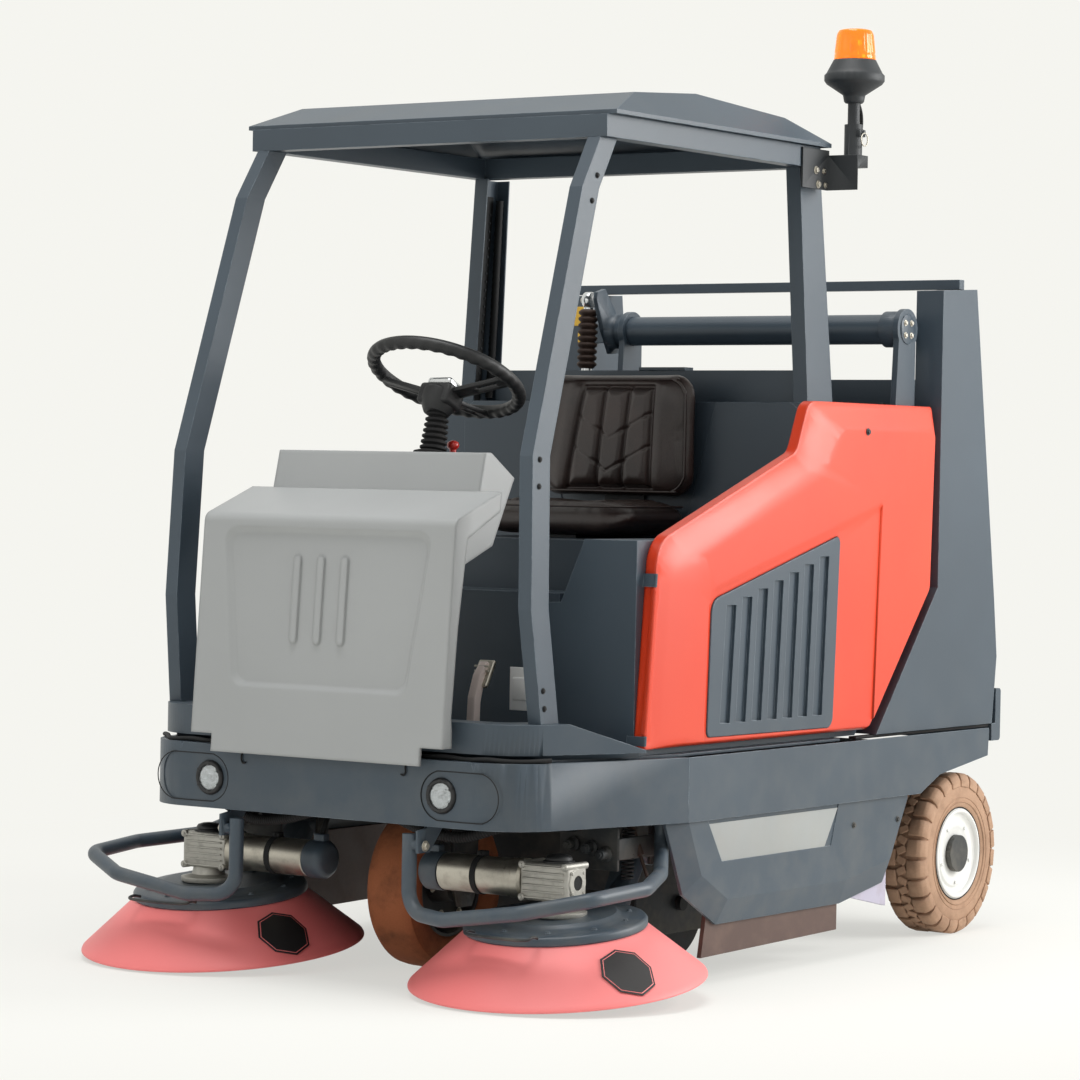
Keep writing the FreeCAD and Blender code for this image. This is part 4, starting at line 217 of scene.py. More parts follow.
def flapSkin(name):   # the front flaps are brown, the rear ones pale
    finish = Finish(name, Specular_IOR_Level=0.4)
    spot = finish.place()
    mud = finish.spread(finish.noise(spot, 14, 5, 0.65), 0.45, 0.72)
    fine = finish.noise(spot, 260, 3, 0.6)
    rear = finish.spread(finish.along("Y"), 1.156 - midY, 1.160 - midY)
    colour = finish.blend(tint("5B4740"), tint("B9B4C4"), rear)
    finish.set("Base Color", finish.blend(colour, tint("8A7468"), mud * 0.3))
    finish.set("Roughness", 0.5 + mud * 0.15)
    finish.bump(fine, 0.35, 0.0006, 0.0015)
    return finish.material


def metalSkin(name, code, rough=0.35, metal=1.0, scale=300, grain=0.25, stain="5A5348", stained=0.25):
    finish = Finish(name)
    spot = finish.place()
    fine = finish.noise(spot, scale, 3, 0.6)
    spots = finish.spread(finish.noise(spot, 38, 5, 0.65), 0.5, 0.78)
    colour = finish.blend(tint(code, 0.85), tint(code, 1.1), fine)
    finish.set("Base Color", finish.blend(colour, tint(stain), spots * stained))
    finish.set("Metallic", metal - spots * stained)
    finish.set("Roughness", rough + fine * 0.12 + spots * 0.2)
    finish.bump(fine, grain, 0.0005, 0.0012)
    return finish.material


def vinylSkin(name):
    finish = Finish(name, Coat_Roughness=0.3)
    spot = finish.place()
    grain = finish.cells(spot, 620)
    crease = finish.spread(grain, 0.0, 0.14)
    cloud = finish.noise(spot, 7, 4)
    colour = finish.blend(tint("332724"), tint("4A3A35"), finish.spread(cloud, 0.3, 0.7))
    finish.set("Base Color", finish.blend(tint("15100F"), colour, crease))
    finish.set("Roughness", 0.30 + cloud * 0.12 - crease * 0.06)
    finish.set("Coat Weight", 0.12)
    finish.bump(crease, 0.28, 0.0004)
    return finish.material


def lensSkin(name, code, glow=0.0, haze=0.1):
    finish = Finish(name, 0.08, Transmission_Weight=0.82, IOR=1.49, Emission_Strength=glow)
    spot = finish.place()
    finish.set("Base Color", finish.blend(tint(code, 0.92), tint(code, 1.08), finish.noise(spot, 30)))
    finish.set("Emission Color", tint(code))
    finish.set("Roughness", finish.noise(spot, 90) * haze + haze * 0.3)
    return finish.material


slate = powderCoat("slatePaint", "3D4953", "A6B7C3", gloss=0.36)
darkSteel = powderCoat("darkSteel", "24282B", "5C6468", 0.5, 0.5, 0.75)
greyPaint = mouldedSkin("greyShell", "A4A6A5", "A0A2A1", "AAACAB", radius=0.011)
redPaint = mouldedSkin("redShell", "DC3B14", "D63610", "E2481F", 0.33, 0.14, 260, 0.15, 0.008)
salmon = mouldedSkin("salmonCone", "F98583", "F67C7A", "FC9391", 0.42, 0.2, 300)
whitePaint = powderCoat("whiteRim", "E4E4E0", "FFFFFF", 0.2, 0.35, 0.4)
tanTyre = rubberSkin("tanRubber", "AE8C72", "806450", 0.6)
brownTyre = rubberSkin("brownRubber", "A05F3C", "5A3C2C", 0.7, 0.8)
blackRubber = rubberSkin("blackRubber", "1B1B1C", "4A4640", 0.25)
blackPlastic = mouldedSkin("blackPlastic", "191A1B", "161718", "222324", 0.42, 0.3, 520)
bristleSkin = rubberSkin("bristleFibre", "232426", "6A6258", 0.35, 0.6, 900)
zinc = metalSkin("zincSteel", "BDB8AC", 0.34, 1.0, 260, 0.15)
chrome = metalSkin("hardChrome", "D5D7D8", 0.1, 1.0, 200, 0.05, stained=0.1)
aluminium = metalSkin("castAluminium", "B9B7B0", 0.48, 0.9, 420, 0.5)
iron = metalSkin("engineIron", "3A3A3A", 0.6, 0.6, 300, 0.6)
vinyl = vinylSkin("seatVinyl")

amber = lensSkin("amberLens", "FF9A12", 0.25)
glass = lensSkin("lampGlass", "F2F5F6", haze=0.02)

skins = {"slate_paint": slate, "grey_paint": greyPaint, "red_paint": redPaint, "salmon_paint": salmon,
         "white_paint": whitePaint, "dark_steel": darkSteel, "zinc_steel": zinc, "chrome": chrome,
         "cast_aluminium": aluminium, "engine_iron": iron, "black_rubber": blackRubber, "tan_tyre": tanTyre,
         "brown_tyre": brownTyre, "seat_vinyl": vinyl, "black_plastic": blackPlastic, "bristle": bristleSkin,
         "amber_lens": amber, "lamp_glass": glass}
slotOf = {part["node"]: part["material_slot"] for part in frame["record"]["subparts"]}
bodyOf = {node: body for body, nodes in frame["record"]["behaviour"]["bodies"].items() for node in nodes}
for name, obj in frame["nodes"].items():
    obj.data.materials.clear()
    obj.data.materials.append(skins[slotOf[name]])
frame["nodes"]["rubber_flaps"].data.materials[0] = flapSkin("flapRubber")
print("materials set")


def meshed(bm, name, crease=0):   # an object from the bmesh, shaded smooth up to the crease angle
    mesh = bpy.data.meshes.new(name)
    bm.to_mesh(mesh)
    bm.free()
    if crease:
        for face in mesh.polygons:
            face.use_smooth = True
        mesh.set_sharp_from_angle(angle=math.radians(crease))
    return shown(name, mesh)


def settle(bm, name, skin, body, crease=35, merge=True):
    if merge:
        bmesh.ops.remove_doubles(bm, verts=bm.verts, dist=0.00002)
    bmesh.ops.recalc_face_normals(bm, faces=bm.faces)
    obj = meshed(bm, name, crease)
    for one in (skin if isinstance(skin, (list, tuple)) else [skin]):
        obj.data.materials.append(one)
    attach(obj, body)
    return obj


def smoothCopy(node, crease=32, soft=0.0):   # a CAD node with its curves shaded smooth, its corners softened
    bm = bmesh.new()
    bm.from_mesh(frame["nodes"][node].data)
    bmesh.ops.remove_doubles(bm, verts=bm.verts, dist=0.00001)
    if soft:
        bmesh.ops.dissolve_limit(bm, angle_limit=math.radians(1.5), verts=bm.verts, edges=bm.edges)
        corners = [e for e in bm.edges if len(e.link_faces) == 2 and e.calc_face_angle(0) > math.radians(24)]
        bmesh.ops.bevel(bm, geom=corners, offset=soft, segments=3, profile=0.5, affect="EDGES", material=-1,
                        clamp_overlap=True)
    obj = meshed(bm, node + "Smooth", crease)
    even = obj.modifiers.new("even", "WEIGHTED_NORMAL")
    even.keep_sharp, even.weight = True, 90
    obj.data.materials.clear()
    obj.data.materials.append(skins[slotOf[node]])
    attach(obj, bodyOf[node])
    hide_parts(node)
    return obj


setView()


def stageSkin():   # the shadow stays near the machine, and further off the floor is the backdrop's colour
    finish = Finish("floorSkin", 0.9)
    tree = finish.tree
    finish.set("Base Color", (*light["backdrop"], 1))
    glow = tree.nodes.new("ShaderNodeEmission")
    glow.inputs["Color"].default_value = (*light["backdrop"], 1)
    far = finish.add("ShaderNodeVectorMath", {"operation": "LENGTH"}, {0: finish.place()}, 1)
    share = finish.spread(far, 1.2, 3.4) * (1 - light["glow"]) + light["glow"]
    rays = tree.nodes.new("ShaderNodeLightPath").outputs
    seen = (Wire(finish, rays["Is Camera Ray"]) + Wire(finish, rays["Is Glossy Ray"])
            + Wire(finish, rays["Is Transmission Ray"])).clip()
    mix = tree.nodes.new("ShaderNodeMixShader")
    finish.feed(mix.inputs[0], share * seen)
    tree.links.new(finish.shader.outputs[0], mix.inputs[1])
    tree.links.new(glow.outputs[0], mix.inputs[2])
    tree.links.new(mix.outputs[0], tree.nodes["Material Output"].inputs[0])
    return finish.material


def buildStage():
    bm = bmesh.new()
    bmesh.ops.create_grid(bm, x_segments=1, y_segments=1, size=60)
    bmesh.ops.translate(bm, verts=bm.verts, vec=(0, 0, -0.0005))
    floor = meshed(bm, "floor")
    floor.data.materials.append(stageSkin())
    world = bpy.data.worlds.new("studio")
    bpy.context.scene.world = world
    world.use_nodes = True
    nodes, links = world.node_tree.nodes, world.node_tree.links
    back = nodes["Background"]
    back.inputs["Color"].default_value = (*light["backdrop"], 1)
    back.inputs["Strength"].default_value = 1.0
    soft = nodes.new("ShaderNodeBackground")
    soft.inputs["Color"].default_value = (0.97, 0.98, 1.0, 1)
    soft.inputs["Strength"].default_value = light["world"]
    path = nodes.new("ShaderNodeLightPath")
    seen = path.outputs["Is Camera Ray"]
    for ray in ("Is Glossy Ray", "Is Transmission Ray"):
        join = nodes.new("ShaderNodeMath")
        join.operation = "ADD"
        join.use_clamp = True
        links.new(seen, join.inputs[0])
        links.new(path.outputs[ray], join.inputs[1])
        seen = join.outputs[0]
    mix = nodes.new("ShaderNodeMixShader")
    links.new(seen, mix.inputs[0])
    links.new(soft.outputs[0], mix.inputs[1])
    links.new(back.outputs[0], mix.inputs[2])
    links.new(mix.outputs[0], nodes["World Output"].inputs[0])
    for name, place, target, size, power in light["lamps"]:
        data = bpy.data.lights.new(name, "AREA")
        data.size, data.energy = size, power
        lamp = shown(name, data)
        lamp.location = place
        lamp.rotation_euler = (Vector(target) - Vector(place)).to_track_quat("-Z", "Y").to_euler()
    bpy.context.scene.view_settings.view_transform = "Standard"


buildStage()


# modelling tools
def aim(place, direction):   # local Z looks along the direction
    turn = Vector(direction).to_track_quat("Z", "Y").to_matrix().to_4x4()
    return Matrix.Translation(place) @ turn


def added(bm, known):
    return [v for v in bm.verts if v not in known]


def turned(bm, profile, place=Matrix(), steps=48, mat=0, angle=math.tau):   # (radius, height) pairs spun round Z
    verts, faces = set(bm.verts), set(bm.faces)
    line = [bm.verts.new((radius, 0, height)) for radius, height in profile]
    edges = [bm.edges.new(pair) for pair in zip(line, line[1:])]
    bmesh.ops.spin(bm, geom=line + edges, cent=(0, 0, 0), axis=(0, 0, 1), angle=angle, steps=steps,
                   use_merge=angle == math.tau, use_duplicate=False)
    bmesh.ops.remove_doubles(bm, verts=added(bm, verts), dist=0.00001)
    bmesh.ops.transform(bm, matrix=place, verts=added(bm, verts))
    for face in bm.faces:
        if face not in faces:
            face.material_index = mat


def lathe(name, profile, place, steps, skin, body, crease=40):   # a piece of one turned form
    bm = bmesh.new()
    turned(bm, profile, place, steps)
    return settle(bm, name, skin, body, crease)


def slab(bm, size, place, bevel, segments):
    verts = set(bm.verts)
    bmesh.ops.create_cube(bm, size=1, matrix=place @ Matrix.Diagonal((*size, 1)))
    edges = list({e for v in added(bm, verts) for e in v.link_edges})
    bmesh.ops.bevel(bm, geom=edges, offset=bevel, segments=segments, profile=0.5, affect="EDGES", material=-1)


def prism(bm, outline, low, high, place, bevel, segments=2):   # an XY outline raised along Z
    verts = set(bm.verts)
    ring = [bm.verts.new((x, y, low)) for x, y in outline]
    base = bm.faces.new(ring)
    top = bmesh.ops.extrude_face_region(bm, geom=[base])["geom"]
    bmesh.ops.translate(bm, verts=[v for v in top if isinstance(v, bmesh.types.BMVert)], vec=(0, 0, high - low))
    sharp = [e for e in {e for v in added(bm, verts) for e in v.link_edges} if len(e.link_faces) == 2]
    bmesh.ops.bevel(bm, geom=sharp, offset=bevel, segments=segments, profile=0.5, affect="EDGES", material=-1,
                    clamp_overlap=True)
    bmesh.ops.transform(bm, matrix=place, verts=added(bm, verts))


def bolt(bm, place, direction, size):   # a washer and a hexagon head, the washer a little over size across
    spot = aim(place, direction)
    turned(bm, [(0, 0), (size * 1.15, 0), (size * 1.15, size * 0.16), (0, size * 0.16)], spot, 16)
    turned(bm, [(0, size * 0.1), (size * 0.8, size * 0.1), (size * 0.8, size * 0.6), (size * 0.68, size * 0.72),
                (0, size * 0.72)], spot, 6)


def boltSet(name, body, skin, items):
    bm = bmesh.new()
    for place, direction, size in items:
        bolt(bm, place, direction, size)
    return settle(bm, name, skin, body, 30)


def smoothPath(points, count, closed=False):   # an even curve through the points
    path = []
    total = len(points) if closed else len(points) - 1
    for step in range(count + (0 if closed else 1)):
        spot = step / count * total
        index = min(int(spot), total - 1)
        share = spot - index
        if closed:
            a, b, c, d = (Vector(points[(index + shift) % len(points)]) for shift in (-1, 0, 1, 2))
        else:
            a, b, c, d = (Vector(points[min(max(index + shift, 0), len(points) - 1)]) for shift in (-1, 0, 1, 2))
        path.append(0.5 * ((2 * b) + (c - a) * share + (2 * a - 5 * b + 4 * c - d) * share ** 2
                           + (3 * b - a - 3 * c + d) * share ** 3))
    return path


def hose(name, points, radius, skin, body, count=40, rib=0.0, closed=False, sides=3):
    data = bpy.data.curves.new(name, "CURVE")
    data.dimensions, data.bevel_depth, data.bevel_resolution, data.use_fill_caps = "3D", radius, sides, True
    path = smoothPath(points, count, closed)
    spline = data.splines.new("POLY")
    spline.points.add(len(path) - 1)
    spline.use_cyclic_u = closed
    for index, (point, spot) in enumerate(zip(spline.points, path)):
        point.co = (*spot, 1)
        point.radius = 1 + (0 if index % 2 else rib)   # every other point swells on a ribbed hose
    holder = shown(name, data)
    mesh = bpy.data.meshes.new_from_object(holder)
    bpy.data.objects.remove(holder)
    bm = bmesh.new()
    bm.from_mesh(mesh)
    bpy.data.meshes.remove(mesh)
    return settle(bm, name, skin, body, 50)


def helix(top, low, radius, turns, steps):
    axis = (Vector(low) - Vector(top))
    side = axis.orthogonal().normalized() * radius
    return [Vector(top) + axis * (i / (turns * steps)) + Matrix.Rotation(i / steps * math.tau, 3, axis) @ side
            for i in range(turns * steps + 1)]


def near(point, lines):   # the distance from a point to the nearest of some segments, in a plane
    best = 9.0
    for (ax, ay), (bx, by) in lines:
        dx, dy = bx - ax, by - ay
        share = max(0, min(1, ((point[0] - ax) * dx + (point[1] - ay) * dy) / (dx * dx + dy * dy)))
        best = min(best, math.hypot(point[0] - ax - dx * share, point[1] - ay - dy * share))
    return best


def roundRect(halfWide, halfHigh, radius, steps):
    outline = []
    for index, (sx, sy) in enumerate(((1, 1), (-1, 1), (-1, -1), (1, -1))):
        for step in range(steps + 1):
            angle = math.pi / 2 * (index + step / steps)
            outline.append((sx * (halfWide - radius) + radius * math.cos(angle),
                            sy * (halfHigh - radius) + radius * math.sin(angle)))
    return outline


# finishes of the small pieces
matt = mouldedSkin("mattBlack", "101112", "0D0E0F", "17181A", 0.7, 0.4, 300)
sticker = mouldedSkin("yellowSticker", "E8B93A", "E0AE2E", "F0C64E", 0.4, 0.05, 200, 0.2)
label = mouldedSkin("whiteLabel", "E8E8E4", "E2E2DE", "EFEFEC", 0.4, 0.05, 200, 0.2)
redPlastic = mouldedSkin("redPlastic", "C2241C", "B81F18", "CC3026", 0.3, 0.1, 300, 0.3)
brownRubber = rubberSkin("gaiterRubber", "3A2A22", "241A16", 0.4, 0.6, 420)
mirrorSkin = metalSkin("lampReflector", "F4F6F7", 0.07, 1.0, 60, 0.03, stained=0.0)
print("tools ready")

# padded seat: sizes in metres, heights from the ground and stations along the machine
seat = {"half": 0.235, "backLow": 1.125, "backHigh": 1.442, "backFront": 1.060, "backThick": 0.070,
        "front": 0.770, "rear": 1.100, "low": 1.032, "high": 1.120, "backRound": 0.058, "round": 0.07,
        "cell": 0.006, "pressure": 4, "frames": 20, "swell": 0.006, "fill": 0.75,
        "border": 0.011, "channel": 0.0105, "chevron": 0.0045, "pipe": 0.0032, "pipeSteps": 160,
        "panel": ((-0.134, 1.150), (0.116, 1.150), (0.125, 1.405), (-0.081, 1.405)),
        "lines": (((-0.045, 1.154), (-0.017, 1.400)), ((0.030, 1.155), (0.057, 1.400))),
        "chevrons": (((-0.107, 1.253), (-0.009, 1.193)), ((-0.009, 1.193), (0.114, 1.255)),
                     ((-0.100, 1.336), (0.000, 1.277)), ((0.000, 1.277), (0.119, 1.338)))}


def pillow(halfWide, halfHigh, radius, thick, place, rise):   # two sheets of rings, from a rounded outline inwards
    bm = bmesh.new()
    outline = roundRect(halfWide, halfHigh, radius, 10)
    rings = 14
    for side in (-1, 1):
        last = None
        for ring in range(rings + 1):
            share = 1 - (ring / rings) ** 1.5
            height = thick / 2 * (1 - share ** 6) ** 0.5 + (rise * (1 - share ** 2) if side > 0 else 0)
            if ring == rings:
                row = [bm.verts.new((0, 0, side * height))]
            else:
                row = [bm.verts.new((x * share, y * share, side * height)) for x, y in outline]
            if last and len(row) > 1:
                for i in range(len(row)):
                    j = (i + 1) % len(row)
                    bm.faces.new((last[i], last[j], row[j], row[i]))
            elif last:
                for i in range(len(last)):
                    bm.faces.new((last[i], last[(i + 1) % len(last)], row[0]))
            last = row
    bmesh.ops.remove_doubles(bm, verts=bm.verts, dist=0.0001)
    bmesh.ops.recalc_face_normals(bm, faces=bm.faces)
    bmesh.ops.transform(bm, matrix=place, verts=bm.verts)
    return bm


def stuffed(name, bm, carve, low, high, node):   # filled by the cloth simulation, its seams carved afterwards
    obj = meshed(bm, name)
    bpy.context.view_layer.objects.active = obj
    remesh = obj.modifiers.new("even", "REMESH")
    remesh.mode, remesh.voxel_size = "VOXEL", seat["cell"]
    apply(obj)
    start = [v.co.copy() for v in obj.data.vertices]
    cloth = obj.modifiers.new("fill", "CLOTH")
    cloth.settings.use_pressure = True
    cloth.settings.uniform_pressure_force = seat["pressure"]
    cloth.settings.effector_weights.gravity = 0
    cloth.settings.quality = 4
    cloth.collision_settings.use_collision = False
    cloth.point_cache.frame_start, cloth.point_cache.frame_end = 1, seat["frames"]
    for number in range(1, seat["frames"] + 1):
        bpy.context.scene.frame_set(number)
    bpy.context.view_layer.update()
    depsgraph = bpy.context.evaluated_depsgraph_get()
    filled = [v.co.copy() for v in obj.evaluated_get(depsgraph).data.vertices]
    obj.modifiers.remove(cloth)
    bpy.context.scene.frame_set(1)
    for vertex, old, new in zip(obj.data.vertices, start, filled):
        step = new - old
        vertex.co = old + step * min(1, seat["swell"] / max(step.length, 0.000001))
    soft = obj.modifiers.new("soft", "SUBSURF")
    soft.levels = soft.render_levels = 1
    apply(obj)
    normals = [vertex.normal.copy() for vertex in obj.data.vertices]
    for vertex, normal in zip(obj.data.vertices, normals):
        vertex.co = carve(vertex.co.copy(), normal)
        for axis in range(3):
            vertex.co[axis] = min(max(vertex.co[axis], low[axis]), high[axis])
    for face in obj.data.polygons:
        face.use_smooth = True
    obj.data.materials.clear()
    obj.data.materials.append(vinyl)
    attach(obj, "machine")
    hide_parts(node)
    return obj


def apply(obj):
    depsgraph = bpy.context.evaluated_depsgraph_get()
    done = bpy.data.meshes.new_from_object(obj.evaluated_get(depsgraph))
    obj.modifiers.clear()
    obj.data = done


panelLines = [(seat["panel"][i], seat["panel"][(i + 1) % 4]) for i in range(4)]


def inside(x, z, corners):
    return all((bx - ax) * (z - az) - (bz - az) * (x - ax) > 0
               for (ax, az), (bx, bz) in zip(corners, corners[1:] + corners[:1]))


def carveBack(co, normal):
    weight = max(0, min(1, (-normal.y - 0.2) / 0.5))
    if weight:
        spot = (co.x, co.z)
        edge = near(spot, panelLines)
        drop = seat["border"] * math.exp(-(edge / 0.006) ** 2)
        if inside(co.x, co.z, list(seat["panel"])):
            seam = near(spot, seat["lines"])
            fold = near(spot, seat["chevrons"])
            drop += seat["channel"] * math.exp(-(seam / 0.0055) ** 2)
            drop += seat["chevron"] * math.exp(-(fold / 0.0042) ** 2)
            drop -= 0.007 * min(1, min(seam, edge) / 0.024)
        else:
            drop -= 0.004 * math.exp(-((edge - 0.03) / 0.02) ** 2)
        co.y += drop * weight
    return co


cushionLines = [((x + 0.012, 0.80), (x - 0.012, 1.06)) for x in (-0.13, -0.045, 0.045, 0.13)]


def carveCushion(co, normal):
    weight = max(0, min(1, (normal.z - 0.3) / 0.5))
    station = co.y + midY
    if weight:
        edge = near((co.x, station), [((-0.15, 0.83), (0.15, 0.83)), ((-0.15, 0.83), (-0.15, 1.08)),
                                      ((0.15, 0.83), (0.15, 1.08))])
        drop = 0.009 * math.exp(-(edge / 0.006) ** 2)
        if abs(co.x) < 0.15 and station > 0.83:
            seam = near((co.x, station), cushionLines)
            drop += 0.006 * math.exp(-(seam / 0.005) ** 2) + 0.008 * (1 - (co.x / 0.15) ** 2) - 0.004
        co.z -= drop * weight
    lip = max(0, (0.84 - station) / 0.07)
    co.z -= 0.016 * lip * lip
    return co


backMiddle = at(0, (seat["backFront"] + seat["backThick"] / 2) * 1000, (seat["backLow"] + seat["backHigh"]) * 500)
bm = pillow(seat["half"], (seat["backHigh"] - seat["backLow"]) / 2, seat["backRound"], seat["backThick"] - 0.012,
            Matrix.Translation(backMiddle) @ Matrix.Rotation(math.pi / 2, 4, "X"), 0.004)
stuffed("seatBackPad", bm, carveBack, at(-243, 1052, 1117), at(243, 1138, 1450), "seat_back")
cushionMiddle = at(0, (seat["front"] + seat["rear"]) * 500, (seat["low"] + seat["high"]) * 500)
bm = pillow(seat["half"], (seat["rear"] - seat["front"]) / 2, seat["round"],
            seat["high"] - seat["low"] - 0.012, Matrix.Translation(cushionMiddle), 0.0)
stuffed("seatCushionPad", bm, carveCushion, at(-243, 762, 1024), at(243, 1108, 1128), "seat_cushion")
frontY = seat["backFront"] * 1000
border = [at(x * 1000, frontY + 8, z * 1000)
          for x, z in [(px, pz + (seat["backLow"] + seat["backHigh"]) / 2)
                       for px, pz in roundRect(seat["half"] - 0.016, 0.142, 0.05, 6)]]
hose("seatBackPiping", border, seat["pipe"], vinyl, "machine", seat["pipeSteps"], closed=True)
border = [at(x * 1000, 935 + y * 1000, 1104) for x, y in roundRect(seat["half"] - 0.008, 0.157, 0.062, 6)]
hose("seatCushionPiping", border, 0.003, vinyl, "machine", seat["pipeSteps"], closed=True)
print("seat done")

# steering wheel with finger notches, slotted spokes and a capped hub
wheel = {"centre": at(0, 351, 1406), "tilt": math.radians(25.7), "reach": 0.196, "grip": 0.0165, "notches": 36,
         "notch": 0.0022, "spokes": (0, 90, 180), "plainSpoke": 180, "sink": 0.034,
         "hub": (0.092, 0.066, 0.052), "cap": (0.070, 0.050, 0.026)}
wheelTurn = Matrix.Translation(wheel["centre"]) @ Matrix.Rotation(-wheel["tilt"], 4, "X")
bm = bmesh.new()
made = bmesh.ops.create_circle(bm, segments=16, radius=wheel["grip"],
                               matrix=Matrix.Translation((wheel["reach"] - wheel["grip"], 0, 0))
                               @ Matrix.Rotation(math.pi / 2, 4, "X"))
bmesh.ops.spin(bm, geom=made["verts"] + list({e for v in made["verts"] for e in v.link_edges}), cent=(0, 0, 0),
               axis=(0, 0, 1), angle=math.tau, steps=216, use_merge=True, use_duplicate=False)
bmesh.ops.remove_doubles(bm, verts=bm.verts, dist=0.00001)
for v in bm.verts:
    angle = math.atan2(v.co.y, v.co.x)
    out = math.hypot(v.co.x, v.co.y) - wheel["reach"] + wheel["grip"]
    if v.co.z < 0.002:
        notch = wheel["notch"] * (0.5 + 0.5 * math.cos(angle * wheel["notches"])) * min(1, (0.002 - v.co.z) / 0.008)
        v.co.z += notch
        v.co.x -= math.cos(angle) * notch * (1 if out > 0 else -1) * 0.5
        v.co.y -= math.sin(angle) * notch * (1 if out > 0 else -1) * 0.5
for turn in wheel["spokes"]:   # broad spokes, one of them without its slot
    spin = Matrix.Rotation(math.radians(turn), 4, "Z")
    for side in (-1, 1):
        prism(bm, [(0.030, side * 0.010), (0.178, side * 0.007), (0.178, side * 0.019), (0.030, side * 0.020)][::side],
              -0.015, -0.003, spin, 0.003)
    reach = 0.178 if turn == wheel["plainSpoke"] else 0.098
    prism(bm, [(0.030, -0.012), (reach, -0.012), (reach, 0.012), (0.030, 0.012)], -0.013, -0.005, spin, 0.002)
    prism(bm, [(0.150, -0.0185), (0.186, -0.022), (0.186, 0.022), (0.150, 0.0185)], -0.013, -0.001, spin, 0.004)
turned(bm, [(0, -0.064), (0.030, -0.062), (0.036, -0.052), (0.044, -0.034), (0.044, -0.008), (0.034, 0), (0, 0)],
       Matrix(), 40)
for v in bm.verts:   # the hub lies below the rim, and the spokes rise to it
    out = math.hypot(v.co.x, v.co.y)
    v.co.z -= wheel["sink"] * (1 - min(1, max(0, (out - 0.055) / 0.115)))
bmesh.ops.transform(bm, matrix=wheelTurn, verts=bm.verts)
rim = settle(bm, "steeringRim", blackPlastic, "steering", 40)
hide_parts("steering_wheel")
bm = bmesh.new()
slab(bm, wheel["hub"], wheelTurn @ Matrix.Translation((0, 0, -0.052)), 0.009, 3)
settle(bm, "hubBlock", blackPlastic, "steering")
bm = bmesh.new()
slab(bm, wheel["cap"], wheelTurn @ Matrix.Translation((0, 0, -0.021)), 0.009, 4)
settle(bm, "hubCap", chrome, "steering", 50)

# bellows under the hub, and the small knob
column = {"foot": at(0, 300, 1222), "lean": math.radians(-11), "folds": 8, "pitch": 0.0135, "width": 0.0325,
          "taper": 0.0009, "deep": 0.007, "knob": at(12, 366, 1222)}
lean = Matrix.Translation(column["foot"]) @ Matrix.Rotation(column["lean"], 4, "X")
profile = [(0, -0.004), (0.046, -0.004), (0.046, 0.004), (0.036, 0.008)]
for index in range(column["folds"]):
    level = 0.010 + column["pitch"] * index
    width = column["width"] - column["taper"] * index
    inner = width - column["deep"]
    profile += [(inner, level), (width, level + 0.004), (width, level + 0.0085), (inner, level + 0.0125)]
profile += [(0.020, 0.122), (0, 0.122)]
bellows = lathe("columnBellows", profile, lean, 40, blackRubber, "machine")
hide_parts("steering_column")
lathe("redKnob",
      [(0, 0), (0.008, 0), (0.008, 0.014), (0.013, 0.018), (0.015, 0.024), (0.013, 0.031), (0.006, 0.035),
       (0, 0.036)], aim(column["knob"], (0, 0, 1)), 24, redPlastic, "machine", 50)
print("controls done")

# headlamps: a black ring with lugs, a faceted reflector and a clear cover
lamp = {"x": 334, "station": -100, "z": 460, "lugs": 6, "lugReach": 0.0335, "facets": 24, "facet": 0.0011,
        "depth": 0.034}
for side, sign in (("Left", 1), ("Right", -1)):
    spot = aim(at(sign * lamp["x"], lamp["station"], lamp["z"]), (0, -1, 0))
    bm = bmesh.new()
    turned(bm, [(0.029, -0.020), (0.029, 0.002), (0.031, 0.005), (0.036, 0.0055), (0.039, 0.003), (0.040, 0.0),
                (0.040, -0.010), (0.029, -0.020)], spot, 48)
    for index in range(lamp["lugs"]):
        turn = Matrix.Rotation(math.tau * (index + 0.5) / lamp["lugs"], 4, "Z")
        slab(bm, (0.010, 0.006, 0.006), spot @ turn @ Matrix.Translation((lamp["lugReach"], 0, 0.0035)), 0.0012, 1)
    ring = settle(bm, "lampRing" + side, blackPlastic, "machine", 40)
    if sign > 0:
        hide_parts("headlamps")
    bm = bmesh.new()
    turned(bm, [(0.0, -lamp["depth"]), (0.006, -0.0338), (0.012, -0.0315), (0.018, -0.027), (0.0235, -0.0195),
                (0.0275, -0.0095), (0.0300, -0.0005)], spot, lamp["facets"])
    for v in bm.verts:   # pushed facets, so that each cell of the bowl catches its own light
        local = spot.inverted() @ v.co
        level = round((local.z + lamp["depth"]) * 600)
        turn = round(math.atan2(local.y, local.x) / math.tau * lamp["facets"])
        if math.hypot(local.x, local.y) > 0.004:
            v.co += (spot.to_3x3() @ Vector((0, 0, 1))) * (lamp["facet"] if (level + turn) % 2 else -lamp["facet"])
    settle(bm, "lampBowl" + side, mirrorSkin, "machine", 8)
    lathe("lampBulb" + side,
          [(0, -0.020), (0.0055, -0.020), (0.0062, -0.016), (0.0045, -0.010), (0, -0.008)], spot, 20, glass,
          "machine", 50)
    lathe("lampLens" + side,
          [(0, 0.0052), (0.012, 0.0048), (0.022, 0.0036), (0.030, 0.0012), (0.030, -0.0002), (0.022, 0.0016),
           (0.012, 0.0028), (0, 0.0032)], spot, 48, glass, "machine", 50)
print("lamps done")
